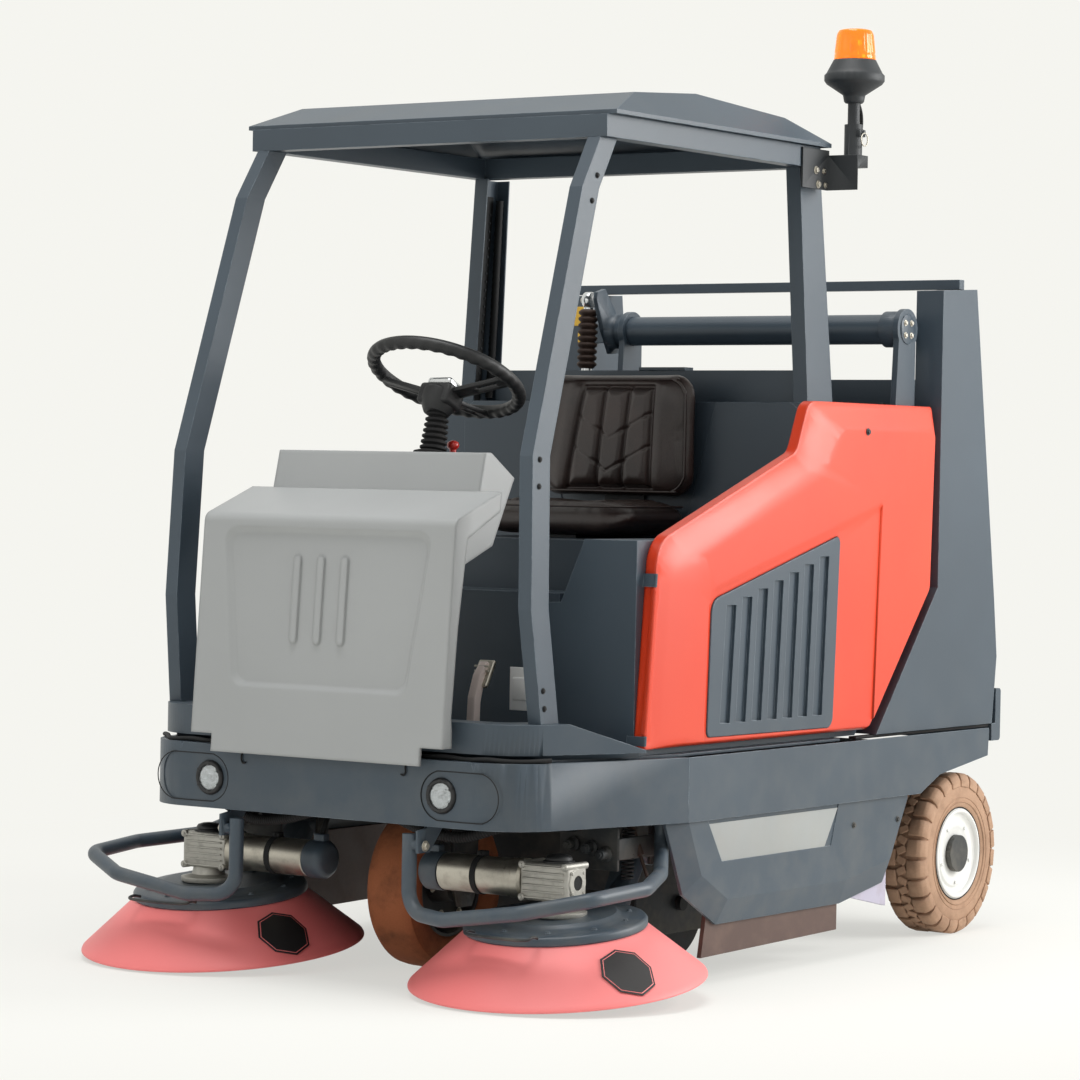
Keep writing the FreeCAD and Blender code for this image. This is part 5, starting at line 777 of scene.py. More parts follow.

# salmon cones: a smooth lipped skirt, and a blank black octagon
cone = {"x": 489, "station": 149, "z": 40, "pitch": math.radians(6.03), "lip": 0.338, "neck": 0.207, "height": 0.110,
        "foot": 0.008}
octagon = {"turn": {"left": -21, "right": -19}, "reach": 0.279,
           "discs": ((0.067, 0.0012, 0), (0.0620, 0.0016, 1), (0.0600, 0.0020, 0))}   # radius, height, skin
tuft = {"rings": ((0.215, 30), (0.170, 24), (0.125, 18)), "lean": 0.62, "strands": 9, "length": 0.118}
dish = {"bolts": 10, "boltReach": 0.172, "boltSize": 0.0065}
octagonSkin = mouldedSkin("octagonBlack", "151213", "100E0F", "1C1819", 0.45, 0.1, 200, 0.1)


def brushPlace(sign):
    return moved(sign * cone["x"], cone["station"], cone["z"]) @ Matrix.Rotation(cone["pitch"], 4, "X")


def coneHeight(radius):
    return cone["foot"] + (cone["lip"] - radius) / (cone["lip"] - cone["neck"]) * cone["height"]


for side, sign in (("left", 1), ("right", -1)):
    place, tag = brushPlace(sign), side.capitalize()
    skirt = lathe("coneSkirt" + tag,
                  [(0.203, 0.118), (0.207, 0.1185), (0.209, 0.117), (0.240, 0.0905), (0.290, 0.048),
                   (0.330, 0.0140), (0.3385, 0.0065), (0.3405, 0.0025), (0.3405, 0.0005), (0.3395, 0.0),
                   (0.3365, 0.0035), (0.328, 0.0105), (0.288, 0.0440), (0.238, 0.0865), (0.203, 0.1145),
                   (0.203, 0.118)], place, 128, salmon, "arm_" + side, 45)
    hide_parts("dust_skirt_" + side)
    bm = bmesh.new()
    slope = math.atan2(0.110, 0.131)
    turn = math.radians(octagon["turn"][side])
    middle = octagon["reach"]
    facing = (place @ Matrix.Rotation(turn, 4, "Z") @ Matrix.Translation((middle, 0, coneHeight(middle) + 0.0020))
              @ Matrix.Rotation(slope, 4, "Y"))
    for radius, thick, mat in octagon["discs"]:
        turned(bm, [(0, thick), (radius * 0.35, thick), (radius * 0.7, thick), (radius, thick),
                    (radius, thick - 0.0008)], Matrix(), 64, mat)
    for v in bm.verts:   # a circle becomes an octagon, wrapped round the cone
        angle = math.atan2(v.co.y, v.co.x)
        out = math.hypot(v.co.x, v.co.y) * math.cos(math.pi / 8) / math.cos(angle % (math.pi / 4) - math.pi / 8)
        x, y = out * math.cos(angle), out * math.sin(angle)
        reach = middle + x * math.cos(slope)
        bend = y / reach
        v.co = Vector((x - reach * (1 - math.cos(bend)) * math.cos(slope), reach * math.sin(bend),
                       v.co.z - reach * (1 - math.cos(bend)) * math.sin(slope)))
    bmesh.ops.transform(bm, matrix=facing, verts=bm.verts)
    settle(bm, "octagon" + tag, [octagonSkin, salmon], "arm_" + side, 60, False)

    # bristle tufts under the skirt
    bm = bmesh.new()
    random.seed(5 + sign)
    for ringIndex, (reach, count) in enumerate(tuft["rings"]):
        for index in range(count):
            turn = math.tau * (index + 0.5 * ringIndex) / count
            lean = (Matrix.Rotation(turn, 4, "Z") @ Matrix.Translation((reach - 0.02, 0, 0.105))
                    @ Matrix.Rotation(math.pi - tuft["lean"] + random.uniform(-0.04, 0.04), 4, "Y"))
            for _ in range(tuft["strands"]):
                drift = Matrix.Rotation(random.uniform(-0.09, 0.09), 4, "X")
                drift = drift @ Matrix.Rotation(random.uniform(-0.09, 0.09), 4, "Y")
                root = Matrix.Translation((random.uniform(-0.007, 0.007), random.uniform(-0.007, 0.007),
                                           tuft["length"] / 2))
                bmesh.ops.create_cone(bm, cap_ends=True, segments=3, radius1=0.0022, radius2=0.0016,
                                      depth=tuft["length"], matrix=place @ lean @ drift @ root)
    settle(bm, "sideBristles" + tag, bristleSkin, "sweeper_" + side, 50, False)
    disc = lathe("brushDisc" + tag,
                 [(0, 0.112), (0.036, 0.112), (0.036, 0.106), (0.185, 0.106), (0.196, 0.100), (0.196, 0.088),
                  (0.190, 0.084), (0, 0.084)], place, 64, blackPlastic, "sweeper_" + side)
    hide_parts("side_brush_" + side)

    # the dished plate with its rolled rim, studs and wire hooks
    bm = bmesh.new()
    turned(bm, [(0.0, 0.1190), (0.207, 0.1190), (0.2095, 0.1215), (0.2095, 0.133), (0.206, 0.138), (0.199, 0.1405),
                (0.190, 0.1395), (0.155, 0.1430), (0.147, 0.1475), (0.141, 0.1535), (0, 0.1535)], place, 96)
    for index in range(dish["bolts"]):
        turn = math.tau * (index + 0.3) / dish["bolts"]
        spot = place @ Matrix.Rotation(turn, 4, "Z") @ Matrix.Translation((dish["boltReach"], 0, 0.1415))
        bolt(bm, spot.translation, spot.to_3x3() @ Vector((0, 0, 1)), dish["boltSize"])
    settle(bm, "dishPlate" + tag, slate, "arm_" + side, 40)
    hook = [place @ Vector(p) for p in ((-0.085 * sign, -0.195, 0.140), (-0.088 * sign, -0.214, 0.146),
                                        (-0.070 * sign, -0.236, 0.143), (0.070 * sign, -0.240, 0.143),
                                        (0.088 * sign, -0.216, 0.146), (0.085 * sign, -0.195, 0.140))]
    hose("frontHook" + tag, hook, 0.0035, darkSteel, "arm_" + side, 40)
print("cones done")

# brush drives: cast gear case, cap, motor with its strap and blank sticker
drive = {"station": 115, "z": 265, "caseX": 495, "case": (0.130, 0.078, 0.086), "ribs": 6, "ribPitch": 14.2,
         "shaftX": 560, "capX": 510, "canX": 198, "strapX": 292, "endX": 140, "stickerX": 226,
         "corners": ((437, 302), (553, 302), (437, 228), (553, 228)), "boltTurns": (55, 125, 235, 305),
         "cable": 0.0065}   # stations and heights in millimetres
for side, sign in (("left", 1), ("right", -1)):
    body, tag = "arm_" + side, side.capitalize()
    z, y = drive["z"], drive["station"]
    across = (sign, 0, 0)
    smoothCopy("brush_arm_" + side)
    bm = bmesh.new()
    slab(bm, drive["case"], moved(sign * drive["caseX"], y, z), 0.007, 3)
    for index in range(drive["ribs"]):
        level = z - 36 + index * drive["ribPitch"]
        slab(bm, (0.112, 0.088, 0.0042), moved(sign * drive["caseX"], y, level), 0.0015, 2)
    for x, corner in drive["corners"]:
        turned(bm, [(0, -0.044), (0.0085, -0.044), (0.0085, 0.0435), (0.006, 0.045), (0, 0.045)],
               aim(at(sign * x, y, corner), (0, -1, 0)), 20)
        bolt(bm, at(sign * x, y - 44.5, corner), (0, -1, 0), 0.0055)
    turned(bm, [(0.017, 0.0), (0.017, 0.003), (0.031, 0.003), (0.033, 0.001), (0.033, -0.006), (0.017, -0.006)],
           aim(at(sign * drive["shaftX"], y, z), across), 40)
    for turn in range(4):
        angle = math.radians(45 + 90 * turn)
        bolt(bm, at(sign * 561, y + 31 * math.cos(angle), z + 31 * math.sin(angle)), across, 0.005)
    turned(bm, [(0, -0.078), (0.064, -0.078), (0.066, -0.074), (0.066, -0.066), (0.040, -0.060), (0.036, -0.040),
                (0, -0.040)], aim(at(sign * drive["capX"], y, z), (0, 0, 1)), 48)
    case = settle(bm, "gearCase" + tag, aluminium, body, 35)
    # a matt black plug in the shaft's hole paints the shade inside it
    lathe("shaftHoleShade" + tag,
          [(0, 0.001), (0.0165, 0.001), (0.0165, -0.014), (0, -0.014)],
          aim(at(sign * drive["shaftX"], y, z), across), 32, matt, body)
    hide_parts("brush_drive_" + side)
    lathe("gearCap" + tag,
          [(0, 0), (0.036, 0), (0.036, 0.004), (0.031, 0.006), (0.031, 0.010), (0.027, 0.016), (0.016, 0.0195),
           (0.007, 0.0205), (0, 0.0205)], aim(at(sign * drive["capX"], y, z + 43), (0, 0, 1)), 40, blackPlastic,
          body)
    bm = bmesh.new()
    turned(bm, [(0, 0), (0.041, 0), (0.043, 0.002), (0.043, 0.188), (0.045, 0.190), (0.045, 0.206), (0.047, 0.208),
                (0.047, 0.226), (0.040, 0.232), (0, 0.232)], aim(at(sign * drive["canX"], y, z), across), 56)
    for turn in drive["boltTurns"]:
        angle = math.radians(turn)
        bolt(bm, at(sign * 404, y + 39 * math.cos(angle), z + 39 * math.sin(angle)), (-sign, 0, 0), 0.006)
    settle(bm, "motorCan" + tag, zinc, body, 40)
    bm = bmesh.new()
    turned(bm, [(0.0435, 0), (0.0455, 0.001), (0.0455, 0.015), (0.0435, 0.016)],
           aim(at(sign * drive["strapX"], y, z), across), 56)
    slab(bm, (0.022, 0.020, 0.012), moved(sign * 300, y, z + 49), 0.002, 2)
    bolt(bm, at(sign * 300, y - 10, z + 49), (0, -1, 0), 0.005)
    settle(bm, "motorStrap" + tag, matt, body, 40)
    bm = bmesh.new()
    turned(bm, [(0, 0), (0.030, 0), (0.040, 0.006), (0.0455, 0.014), (0.0455, 0.052), (0.0435, 0.056), (0, 0.056)],
           aim(at(sign * drive["endX"], y, z), across), 48)
    slab(bm, (0.030, 0.024, 0.020), moved(sign * 168, y, z + 50), 0.003, 2)
    settle(bm, "motorEnd" + tag, slate, body, 40)
    bm = bmesh.new()   # the blank sticker lies on the can's front
    middle = at(sign * drive["stickerX"], y, z)
    turned(bm, [(0.0438, 0), (0.0438, 0.052)], aim(middle, across), 10, angle=0.9)
    bmesh.ops.transform(bm, matrix=Matrix.Translation(middle) @ Matrix.Rotation(0.6 if sign > 0 else 2.2, 4, "X")
                        @ Matrix.Translation(-middle), verts=bm.verts)
    settle(bm, "motorSticker" + tag, label, body, 60)
    cable = ((168, y, z + 58), (172, y + 25, z + 92), (215, y + 95, z + 108), (262, y + 190, z + 120),
             (272, y + 290, z + 140))
    hose("motorCable" + tag, route(cable, sign), drive["cable"], matt, body, 36)
print("drives done")


# tyres with moulded tread blocks on rounded carcasses, and the rims
def carcass(radius, rim, half, shoulder=0.026):
    return [(rim, -half * 0.72), (rim + 0.006, -half * 0.86), (rim + 0.018, -half * 0.97), (rim + 0.035, -half),
            (radius - shoulder - 0.014, -half * 0.985), (radius - shoulder * 0.55, -half * 0.93),
            (radius - 0.007, -half * 0.80), (radius - 0.004, -half * 0.5), (radius - 0.003, 0),
            (radius - 0.004, half * 0.5), (radius - 0.007, half * 0.80), (radius - shoulder * 0.55, half * 0.93),
            (radius - shoulder - 0.014, half * 0.985), (rim + 0.035, half), (rim + 0.018, half * 0.97),
            (rim + 0.006, half * 0.86), (rim, half * 0.72), (rim - 0.004, half * 0.4), (rim - 0.004, -half * 0.4),
            (rim, -half * 0.72)]


def lug(bm, radius, half, turn, wide, deep, spot, skew):   # a moulded block, from the crown over the shoulder
    for sign in (-1, 1):
        angle = turn + (skew if sign > 0 else 0)
        outline = [(radius - deep, half * 0.24), (radius, half * 0.27), (radius, half * 0.74),
                   (radius - 0.006, half * 0.88), (radius - 0.020, half * 0.985), (radius - 0.036, half * 0.985),
                   (radius - 0.036, half * 0.93), (radius - deep - 0.008, half * 0.78)]
        outline = [(reach, sign * side) for reach, side in outline]
        place = spot @ Matrix.Rotation(angle, 4, "Z") @ Matrix.Rotation(math.pi / 2, 4, "X")
        prism(bm, outline if sign < 0 else outline[::-1], -wide / 2, wide / 2, place, 0.0022, segments=1)


def tyre(name, body, skin, node, centre, size):
    radius, rim, half, blocks = size["radius"], size["rim"], size["half"], size["blocks"]
    wide, deep = size["wide"], size["deep"]
    spot = Matrix.Translation(centre) @ Matrix.Rotation(math.pi / 2, 4, "Y")
    one = lathe(name + "Carcass", carcass(radius - deep, rim, half * 0.965), spot, 72, skin, body)
    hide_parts(node)
    if not blocks:   # the front tyre is smooth
        return
    bm = bmesh.new()
    for index in range(blocks):
        lug(bm, radius - 0.0005, half * 0.995, math.tau * index / blocks, wide, deep, spot, math.pi / blocks)
    for index in range(blocks * 2):
        turn = math.tau * (index + 0.25) / blocks / 2
        place = (spot @ Matrix.Rotation(turn, 4, "Z") @ Matrix.Translation((radius - deep / 2 - 0.001, 0, 0))
                 @ Matrix.Rotation(0.45 if index % 2 else -0.45, 4, "X"))
        slab(bm, (deep, math.tau * radius / blocks / 2 * 0.72, half * 0.44), place, 0.002, 1)
    settle(bm, name + "Blocks", skin, body, 40, False)
    bm = bmesh.new()
    for reach in (rim + 0.022, rim + 0.034):
        for end in (-1, 1):
            turned(bm, [(reach - 0.0016, end * (half * 0.962 - 0.001)), (reach, end * (half * 0.962 + 0.0016)),
                        (reach + 0.0016, end * (half * 0.962 - 0.001))], spot, 72)
    settle(bm, name + "Beads", skin, body, 40)


rearTyre = {"x": 562.5, "station": 1808, "radius": 0.210, "rim": 0.112, "half": 0.0625, "blocks": 24, "wide": 0.043,
            "deep": 0.007, "rimBolts": 5, "rimBoltReach": 0.077}
frontTyre = {"station": 340, "radius": 0.200, "rim": 0.120, "half": 0.0675, "blocks": 0, "wide": 0, "deep": 0.001,
             "nuts": 6, "nutReach": 72, "nutX": 46}
for side, sign in (("left", 1), ("right", -1)):
    body, tag = "rear_wheel_" + side, side.capitalize()
    centre = at(sign * rearTyre["x"], rearTyre["station"], rearTyre["radius"] * 1000)
    tyre("rearTyre" + tag, body, tanTyre, "rear_tyre_" + side, centre, rearTyre)
    spot = Matrix.Translation(centre) @ Matrix.Rotation(math.pi / 2 * sign, 4, "Y")
    bm = bmesh.new()
    turned(bm, [(0.1125, 0.040), (0.1155, 0.046), (0.1175, 0.0525), (0.1150, 0.0575), (0.1105, 0.0585),
                (0.1065, 0.0555), (0.1040, 0.0480), (0.0985, 0.0440), (0.0905, 0.0430), (0.0875, 0.0450),
                (0.0845, 0.0475), (0.0720, 0.0480), (0.0690, 0.0465), (0.0600, 0.0440), (0.0480, 0.0440),
                (0.0480, 0.0405), (0.0600, 0.0395), (0.0960, 0.0380), (0.1125, 0.040)], spot, 96)
    for index in range(rearTyre["rimBolts"]):
        angle, reach = math.tau * index / rearTyre["rimBolts"], rearTyre["rimBoltReach"]
        local = spot @ Vector((reach * math.cos(angle), reach * math.sin(angle), 0.0475))
        bolt(bm, local, (sign, 0, 0), 0.0055)
    disc = settle(bm, "rimFace" + tag, whitePaint, body, 35)
    lathe("rimShadow" + tag,
          [(0.1130, 0.0400), (0.1195, 0.0490), (0.1215, 0.0545), (0.1200, 0.0565), (0.1176, 0.0535),
           (0.1150, 0.0440), (0.1130, 0.0400)], spot, 96, blackRubber, body)
    lathe("hubCover" + tag,
          [(0, 0.0590), (0.016, 0.0588), (0.034, 0.0565), (0.0420, 0.0520), (0.0455, 0.0450), (0.0480, 0.0435),
           (0, 0.0435)], spot @ Matrix.Diagonal((1, 0.82, 1, 1)), 56, slate, body)
    smoothCopy("rear_rim_" + side)
centre = at(0, frontTyre["station"], frontTyre["radius"] * 1000)
tyre("frontTyre", "front_wheel", brownTyre, "front_tyre", centre, frontTyre)
smoothCopy("front_rim")
bm = bmesh.new()
for sign in (-1, 1):
    for index in range(frontTyre["nuts"]):
        angle, reach = math.tau * index / frontTyre["nuts"], frontTyre["nutReach"]
        bolt(bm, at(sign * frontTyre["nutX"], frontTyre["station"] + reach * math.cos(angle),
                    frontTyre["radius"] * 1000 + reach * math.sin(angle)), (sign, 0, 0), 0.008)
settle(bm, "frontNuts", zinc, "front_wheel", 30)
print("wheels done")

# hopper cylinder: chrome rod and eye, brown bellows, and the bolted head at the crank
lift = {"x": -335, "foot": (1420, 840), "hinge": (1500, 1565), "crank": 95.5, "crankTurn": math.radians(120.9),
        "bar": 0.0138, "folds": 9, "foldPitch": 0.0172}
foot = at(lift["x"], *lift["foot"])
pin = at(lift["x"], lift["hinge"][0] + lift["crank"] * math.cos(lift["crankTurn"]),
         lift["hinge"][1] + lift["crank"] * math.sin(lift["crankTurn"]))
reach = (pin - foot).length
ram = aim(foot, pin - foot)
bm = bmesh.new()
turned(bm, [(0, reach - 0.560), (lift["bar"], reach - 0.560), (lift["bar"], reach - 0.02), (0, reach - 0.02)], ram, 32)
turned(bm, [(0, -0.0108), (0.010, -0.0108), (0.0205, -0.0108), (0.022, -0.009), (0.022, 0.009), (0.0205, 0.0108),
            (0.010, 0.0108), (0, 0.0108)], aim(pin, (1, 0, 0)), 36)
rod = settle(bm, "liftRodBar", chrome, "lift_rod", 40)
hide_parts("lift_rod")
profile = [(0.0142, reach - 0.183), (0.020, reach - 0.181)]
for index in range(lift["folds"]):
    level = reach - 0.180 + lift["foldPitch"] * index
    profile += [(0.0195, level), (0.0262, level + 0.006), (0.0268, level + 0.009), (0.0262, level + 0.012)]
profile += [(0.0195, reach - 0.0252), (0.0142, reach - 0.0245)]
lathe("rodBellows", profile, ram, 36, brownRubber, "lift_rod", 50)
bm = bmesh.new()
turned(bm, [(0, 0), (0.0095, 0), (0.0095, 0.008), (0, 0.008)], aim(pin + Vector((-0.011, 0, 0)), (-1, 0, 0)), 24)
bolt(bm, pin + Vector((-0.018, 0, 0)), (-1, 0, 0), 0.009)
settle(bm, "crankPin", zinc, "lift_rod", 40)

# beacon: fluted amber lens over its lamp
beacon = {"place": (575, 1262), "lens": 2224.4, "flutes": 120, "clamp": 2030,
          "bolts": ((1172, 1946, 0.009), (1210, 1946, 0.007), (1183, 1912, 0.009), (1218, 1912, 0.007))}
lens = at(*beacon["place"], beacon["lens"])
bm = bmesh.new()
turned(bm, [(0.0500, 0.0), (0.0518, 0.002), (0.0512, 0.012), (0.0502, 0.014), (0.0498, 0.020), (0.0455, 0.060),
            (0.0445, 0.066), (0.0410, 0.0725), (0.0340, 0.0752), (0, 0.0756), (0, 0.0726), (0.0330, 0.0722),
            (0.0380, 0.0700), (0.0425, 0.0600), (0.0470, 0.0150), (0.0470, 0.0), (0.0500, 0.0)],
       Matrix.Translation(lens), beacon["flutes"])
for v in bm.verts:
    local = v.co - lens
    out = math.hypot(local.x, local.y)
    if 0.016 < local.z < 0.064 and out > 0.0436 + (0.058 - local.z) * 0.05:
        flute = round(math.atan2(local.y, local.x) / math.tau * beacon["flutes"])
        grow = 1 + (0.014 if flute % 4 < 2 else -0.010)
        v.co.x, v.co.y = lens.x + local.x * grow, lens.y + local.y * grow
cover = settle(bm, "beaconLensFluted", amber, "machine", 30)
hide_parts("beacon_lens")
lathe("beaconCore",
      [(0, 0.001), (0.030, 0.001), (0.030, 0.010), (0.012, 0.014), (0.012, 0.030), (0.016, 0.036), (0.016, 0.050),
       (0.010, 0.056), (0, 0.056)], Matrix.Translation(lens), 32, mirrorSkin, "machine")
bm = bmesh.new()
turned(bm, [(0.0145, 0), (0.0205, 0.001), (0.0215, 0.006), (0.0215, 0.020), (0.0195, 0.024), (0.0145, 0.025)],
       moved(*beacon["place"], beacon["clamp"]), 32)
slab(bm, (0.012, 0.030, 0.018), moved(596, 1262, 2042), 0.002, 2)
bolt(bm, at(602, 1262, 2042), (1, 0, 0), 0.008)
settle(bm, "beaconClamp", darkSteel, "machine", 40)
ringPin = [at(603, 1262, 2042) + Vector((0.004, 0.016 * math.cos(a), -0.016 + 0.016 * math.sin(a)))
           for a in [math.tau * i / 12 for i in range(12)]]
hose("beaconRingPin", ringPin, 0.0016, zinc, "machine", 36, closed=True)
hose("beaconCable", route(((575, 1284, 2120), (577, 1296, 2090), (580, 1290, 2050), (572, 1284, 2000),
                           (548, 1262, 1978), (524, 1248, 1972))), 0.0045, matt, "machine", 40)
boltSet("beaconBolts", "machine", zinc,
        [(at(522.6, station, z), (1, 0, 0), size) for station, z, size in beacon["bolts"]])

# tapes and caps on the masts, hose and holes inside the far rear pillar
pillar = {"strip": (0.004, 0.050, 0.54), "lean": 0.061, "studs": 22, "studPitch": 22, "studRows": (1186, 1210)}
bm = bmesh.new()
slab(bm, (0.046, 0.0016, 0.052), moved(-462, 1604.4, 1612), 0.0005, 1)
slab(bm, (0.030, 0.0016, 0.030), moved(-458, 1604.4, 1556), 0.0005, 1)
settle(bm, "mastStickers", sticker, "hopper", 40)
bm = bmesh.new()
place = moved(-509.5, 1198, 1640) @ Matrix.Rotation(pillar["lean"], 4, "Y")
slab(bm, pillar["strip"], place, 0.001, 1)
settle(bm, "pillarStrip", matt, "machine", 40)
bm = bmesh.new()
for index in range(pillar["studs"]):
    z = 1400 + index * pillar["studPitch"]
    x = -505.2 + (z - 1640) * pillar["lean"]
    for y in pillar["studRows"]:
        turned(bm, [(0, 0), (0.0034, 0), (0.0026, 0.0012), (0, 0.0012)], aim(at(x, y, z), (1, 0, 0)), 8)
settle(bm, "pillarStuds", darkSteel, "machine", 40)
hose("pillarHose", route(((-503, 1232, 1380), (-496, 1234, 1500), (-489, 1232, 1620), (-482, 1230, 1760),
                          (-474, 1226, 1900))), 0.009, matt, "machine", 60, rib=0.14)
boltSet("hingeBolts", "hopper", zinc,
        [(at(610.3, 1500 + 22 * math.cos(a), 1565 + 22 * math.sin(a)), (1, 0, 0), 0.007)
         for a in [math.tau * (i + 0.5) / 4 for i in range(4)]])
print("rear done")

# pale plates in the side skirts, screws, and the seals under the hopper
plateSkin = powderCoat("plateGrey", "9C9F9D", "C5C8C6", 0.3, 0.4, 0.6)
leverSkin = powderCoat("leverPaint", "E4D3CA", "FFF4EE", 0.2, 0.3, 0.5)
plate = {"line": [(0.503, 0.3785), (0.569, 0.2795), (1.035, 0.2795), (1.101, 0.3785)],   # station and height
         "x": 0.660, "screws": ((1180, 330), (1400, 330)), "screwX": 662.2, "seal": (0.022, 0.70, 0.0075)}
capsule = {"outer": 436, "inner": 334, "z": 460, "radius": 55.5}
pillarFace = ((625, 520.5), (880, 511), (1222, 500), (1833, 486.5), (1952, 482.5))   # height and X
pillarBolt = ((228, 1862), (206, 1803), (-2, 1214), (-6, 1154), (2, 700), (6, 660))   # station and height


def pillarX(z):
    for (low, xLow), (high, xHigh) in zip(pillarFace, pillarFace[1:]):
        if z <= high:
            return xLow + (xHigh - xLow) * (z - low) / (high - low) + 17.6


for side, sign in (("Left", 1), ("Right", -1)):
    bm = bmesh.new()
    turn = Matrix(((0, 0, sign, sign * plate["x"]), (1, 0, 0, -midY), (0, 1, 0, 0), (0, 0, 0, 1)))
    prism(bm, plate["line"] if sign > 0 else plate["line"][::-1], -0.0005, 0.0016, turn, 0.0008)
    settle(bm, "skirtPlate" + side, plateSkin, "machine", 40)
    boltSet("skirtScrews" + side, "machine", darkSteel,
            [(at(sign * plate["screwX"], s, z), (sign, 0, 0), 0.007) for s, z in plate["screws"]])
    bm = bmesh.new()
    slab(bm, plate["seal"], moved(sign * 640, 1552, 543.2), 0.002, 2)
    settle(bm, "hopperSeal" + side, blackRubber, "machine", 40)

    # capsule line round the lamp, and hooks over the bumper
    loop = []
    for index in range(24):
        angle = math.pi * (index / 11.0 - 0.5) if index < 12 else math.pi * ((index - 12) / 11.0 + 0.5)
        middle = capsule["outer"] if index < 12 else capsule["inner"]
        loop.append(at(sign * (middle + capsule["radius"] * math.cos(angle)), -99.6,
                       capsule["z"] + capsule["radius"] * math.sin(angle)))
    hose("capsuleLine" + side, loop, 0.0013, matt, "machine", 120, closed=True, sides=2)
    hook = ((236, -96, 530), (236, -103, 520), (237, -103.4, 508), (232, -103.4, 500), (224, -103.4, 502))
    hose("bumperHook" + side, route(hook, sign), 0.0020, matt, "machine", 24, sides=2)

    boltSet("pillarBolts" + side, "machine", matt,
            [(at(sign * pillarX(z), s, z), (sign, 0, 0), 0.0062)
             for s, z in pillarBolt])

# seal under the sill, a little wavy, turning back at the corners
sill = {"half": 560, "corner": 470, "steps": 64, "radius": 0.0055}
wave = []
for index in range(sill["steps"] + 1):
    x = -sill["half"] + 2 * sill["half"] * index / sill["steps"]
    back = (abs(x) - sill["corner"]) * 0.9 * (abs(x) > sill["corner"])
    wave.append(at(x, -78 + back + 2 * math.sin(index * 1.1), 544.5 + 1.6 * math.sin(index * 0.9)))
hose("sillSeal", wave, sill["radius"], matt, "machine", 200, sides=2)

# pedal lever with its steel pad, floor mat, and the small plate on the footwell's wall
pedal = {"line": [(0.176, 0.546), (0.202, 0.546), (0.196, 0.600), (0.198, 0.650), (0.212, 0.700), (0.236, 0.738),
                  (0.222, 0.746), (0.194, 0.716), (0.174, 0.664), (0.170, 0.600)],   # station and height
         "tilt": -0.55, "ribs": 5}
cabMat = {"size": (0.50, 0.60, 0.004), "ribs": 24, "x": 60}
bm = bmesh.new()
prism(bm, pedal["line"], 0.205, 0.227, Matrix(((0, 0, 1, 0), (1, 0, 0, -midY), (0, 1, 0, 0), (0, 0, 0, 1))), 0.003)
pedalArm = settle(bm, "pedalLever", leverSkin, "machine", 40)
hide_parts("pedal")
bm = bmesh.new()
tilt = Matrix.Rotation(pedal["tilt"], 4, "X")
slab(bm, (0.045, 0.012, 0.070), moved(216, 222, 716) @ tilt, 0.004, 3)
for index in range(pedal["ribs"]):
    slab(bm, (0.041, 0.003, 0.005), moved(216, 213, 690 + index * 11) @ tilt, 0.001, 1)
settle(bm, "pedalPad", zinc, "machine", 40)
bm = bmesh.new()
slab(bm, cabMat["size"], moved(cabMat["x"], 560, 547.2), 0.0015, 1)
for index in range(cabMat["ribs"]):
    slab(bm, (0.49, 0.006, 0.0022), moved(cabMat["x"], 280 + index * 24, 549.9), 0.0009, 1)
settle(bm, "floorMat", blackRubber, "machine", 40)
bm = bmesh.new()
slab(bm, (0.040, 0.003, 0.052), moved(300, 250, 684), 0.001, 2)
slab(bm, (0.060, 0.003, 0.10), moved(300, 252.5, 684), 0.001, 2)
settle(bm, "footPlate", label, "machine", 40)

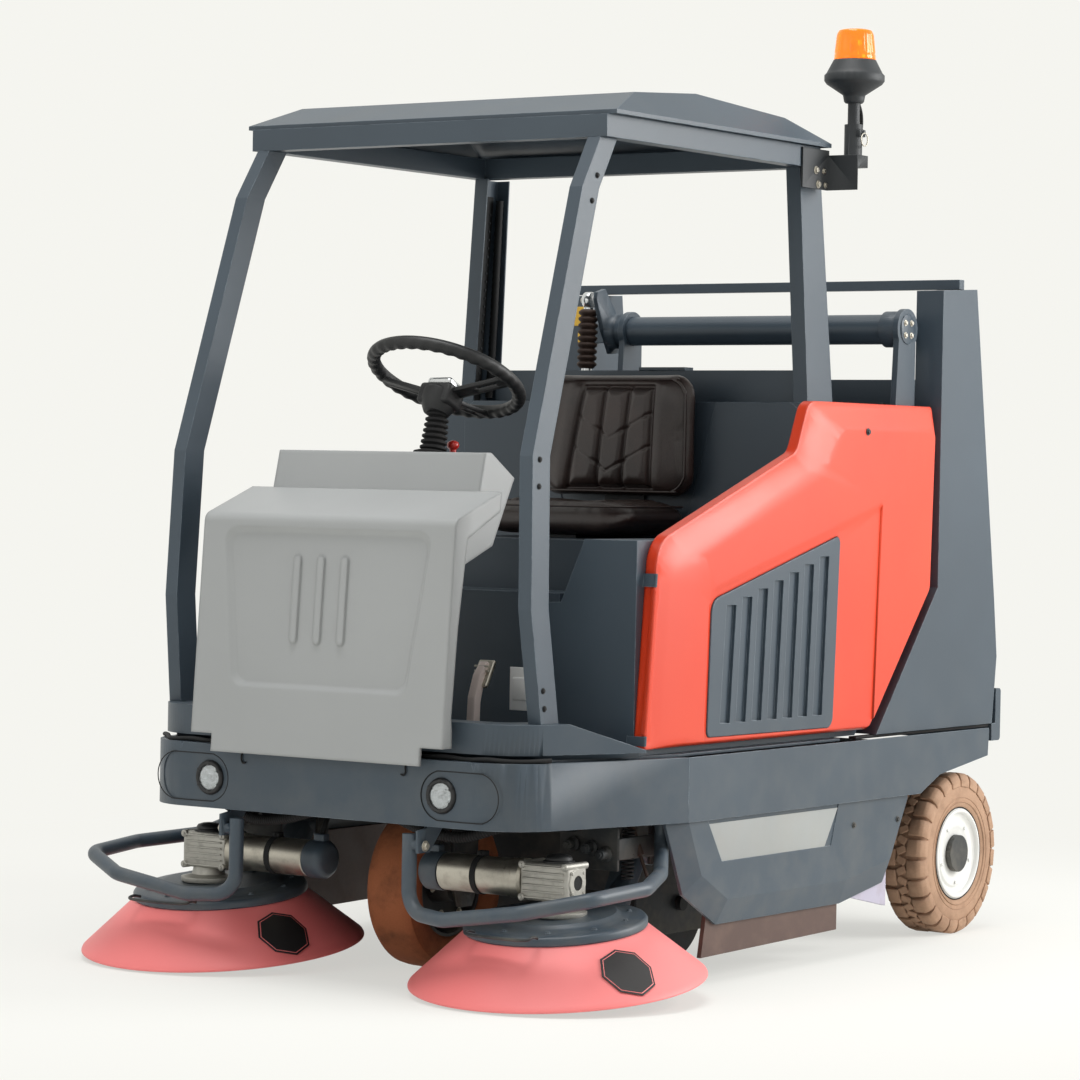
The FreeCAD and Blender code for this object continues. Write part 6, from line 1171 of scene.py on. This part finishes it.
# conduit, springs, struts and hoses behind the side brushes, all clipped to the frame
conduit = {"route": ((120, 30, 388), (200, 20, 366), (300, 30, 356), (400, 46, 384), (490, 108, 402), (560, 150, 402)),
           "radius": 0.0115, "steps": 150, "rib": 0.17}
spring = {"radius": 0.013, "turns": 13, "steps": 10, "wire": 0.0024}
pipes = {"lines": ((0, matt), (14, brownRubber), (26, matt)), "radius": 0.0075, "steps": 48}
for side, sign in (("Left", 1), ("Right", -1)):
    hose("conduit" + side, route(conduit["route"], sign), conduit["radius"], matt, "machine",
         conduit["steps"], rib=conduit["rib"])
    coil = helix(at(sign * 556, 330, 372), at(sign * 560, 320, 258), spring["radius"], spring["turns"], spring["steps"])
    hose("brushSpring" + side, coil, spring["wire"], matt, "machine", 260, sides=2)
    strutTop, strutLow = at(sign * 540, 352, 392), at(sign * 596, 350, 262)
    length = (strutLow - strutTop).length
    lathe("gasStrut" + side, [(0, 0), (0.009, 0), (0.009, 0.088), (0.004, 0.09), (0.004, length), (0, length)],
          aim(strutTop, strutLow - strutTop), 20, brownRubber, "machine")
    bm = bmesh.new()
    for x, s, z in ((500, 262, 330), (540, 262, 318), (450, 262, 336)):
        turned(bm, [(0, 0), (0.018, 0), (0.018, 0.006), (0.012, 0.010), (0.012, 0.028), (0, 0.028)],
               aim(at(sign * x, s, z), (0, -1, 0)), 24)
        bolt(bm, at(sign * x, s - 28, z), (0, -1, 0), 0.010)
    slab(bm, (0.16, 0.010, 0.10), moved(sign * 490, 268, 330), 0.003, 2)
    slab(bm, (0.010, 0.16, 0.05), moved(sign * 568, 345, 330), 0.003, 2)
    settle(bm, "linkPlate" + side, darkSteel, "machine", 40)
    for index, (aside, skin) in enumerate(pipes["lines"]):
        line = ((330 - aside, 40, 400 - aside), (380 + aside, 120, 388 - aside * 0.5),
                (430 + aside, 220, 374 + aside * 0.4), (470 + aside, 300, 372), (500 + aside, 380, 400))
        hose("hydraulicHose%d%s" % (index, side), route(line, sign), pipes["radius"], skin, "machine",
             pipes["steps"])
    boltSet("guardBolts" + side, "machine", zinc,
            [(at(sign * 293, -100, 345), (sign, 0, 0), 0.011), (at(sign * 286, -72, 408), (sign, 0, 0), 0.008)])
boltSet("deckScrews", "machine", darkSteel,
        [(at(x, -20 + 20 * (abs(x) > 300), 546.5), (0, 0, 1), 0.007) for x in (-280, -140, 0, 140, 280)]
        + [(at(658.4, 1219, 1300), (1, 0, 0), 0.008), (at(600, 1460, 1371), (0, 0, 1), 0.009),
           (at(560, 1460, 1371), (0, 0, 1), 0.009)])
print("trim done")

# CAD nodes shown with smooth curves, the moulded ones with soft corners
for node in ("front_fairing", "dash_console"):
    smoothCopy(node, 40, 0.009)
for node in ("front_bumper", "side_cover_left", "side_cover_right", "brush_guards", "torque_tube", "lift_uprights",
             "lift_barrel", "beacon_mount", "wheel_fork", "rear_axle", "front_sill"):
    smoothCopy(node)
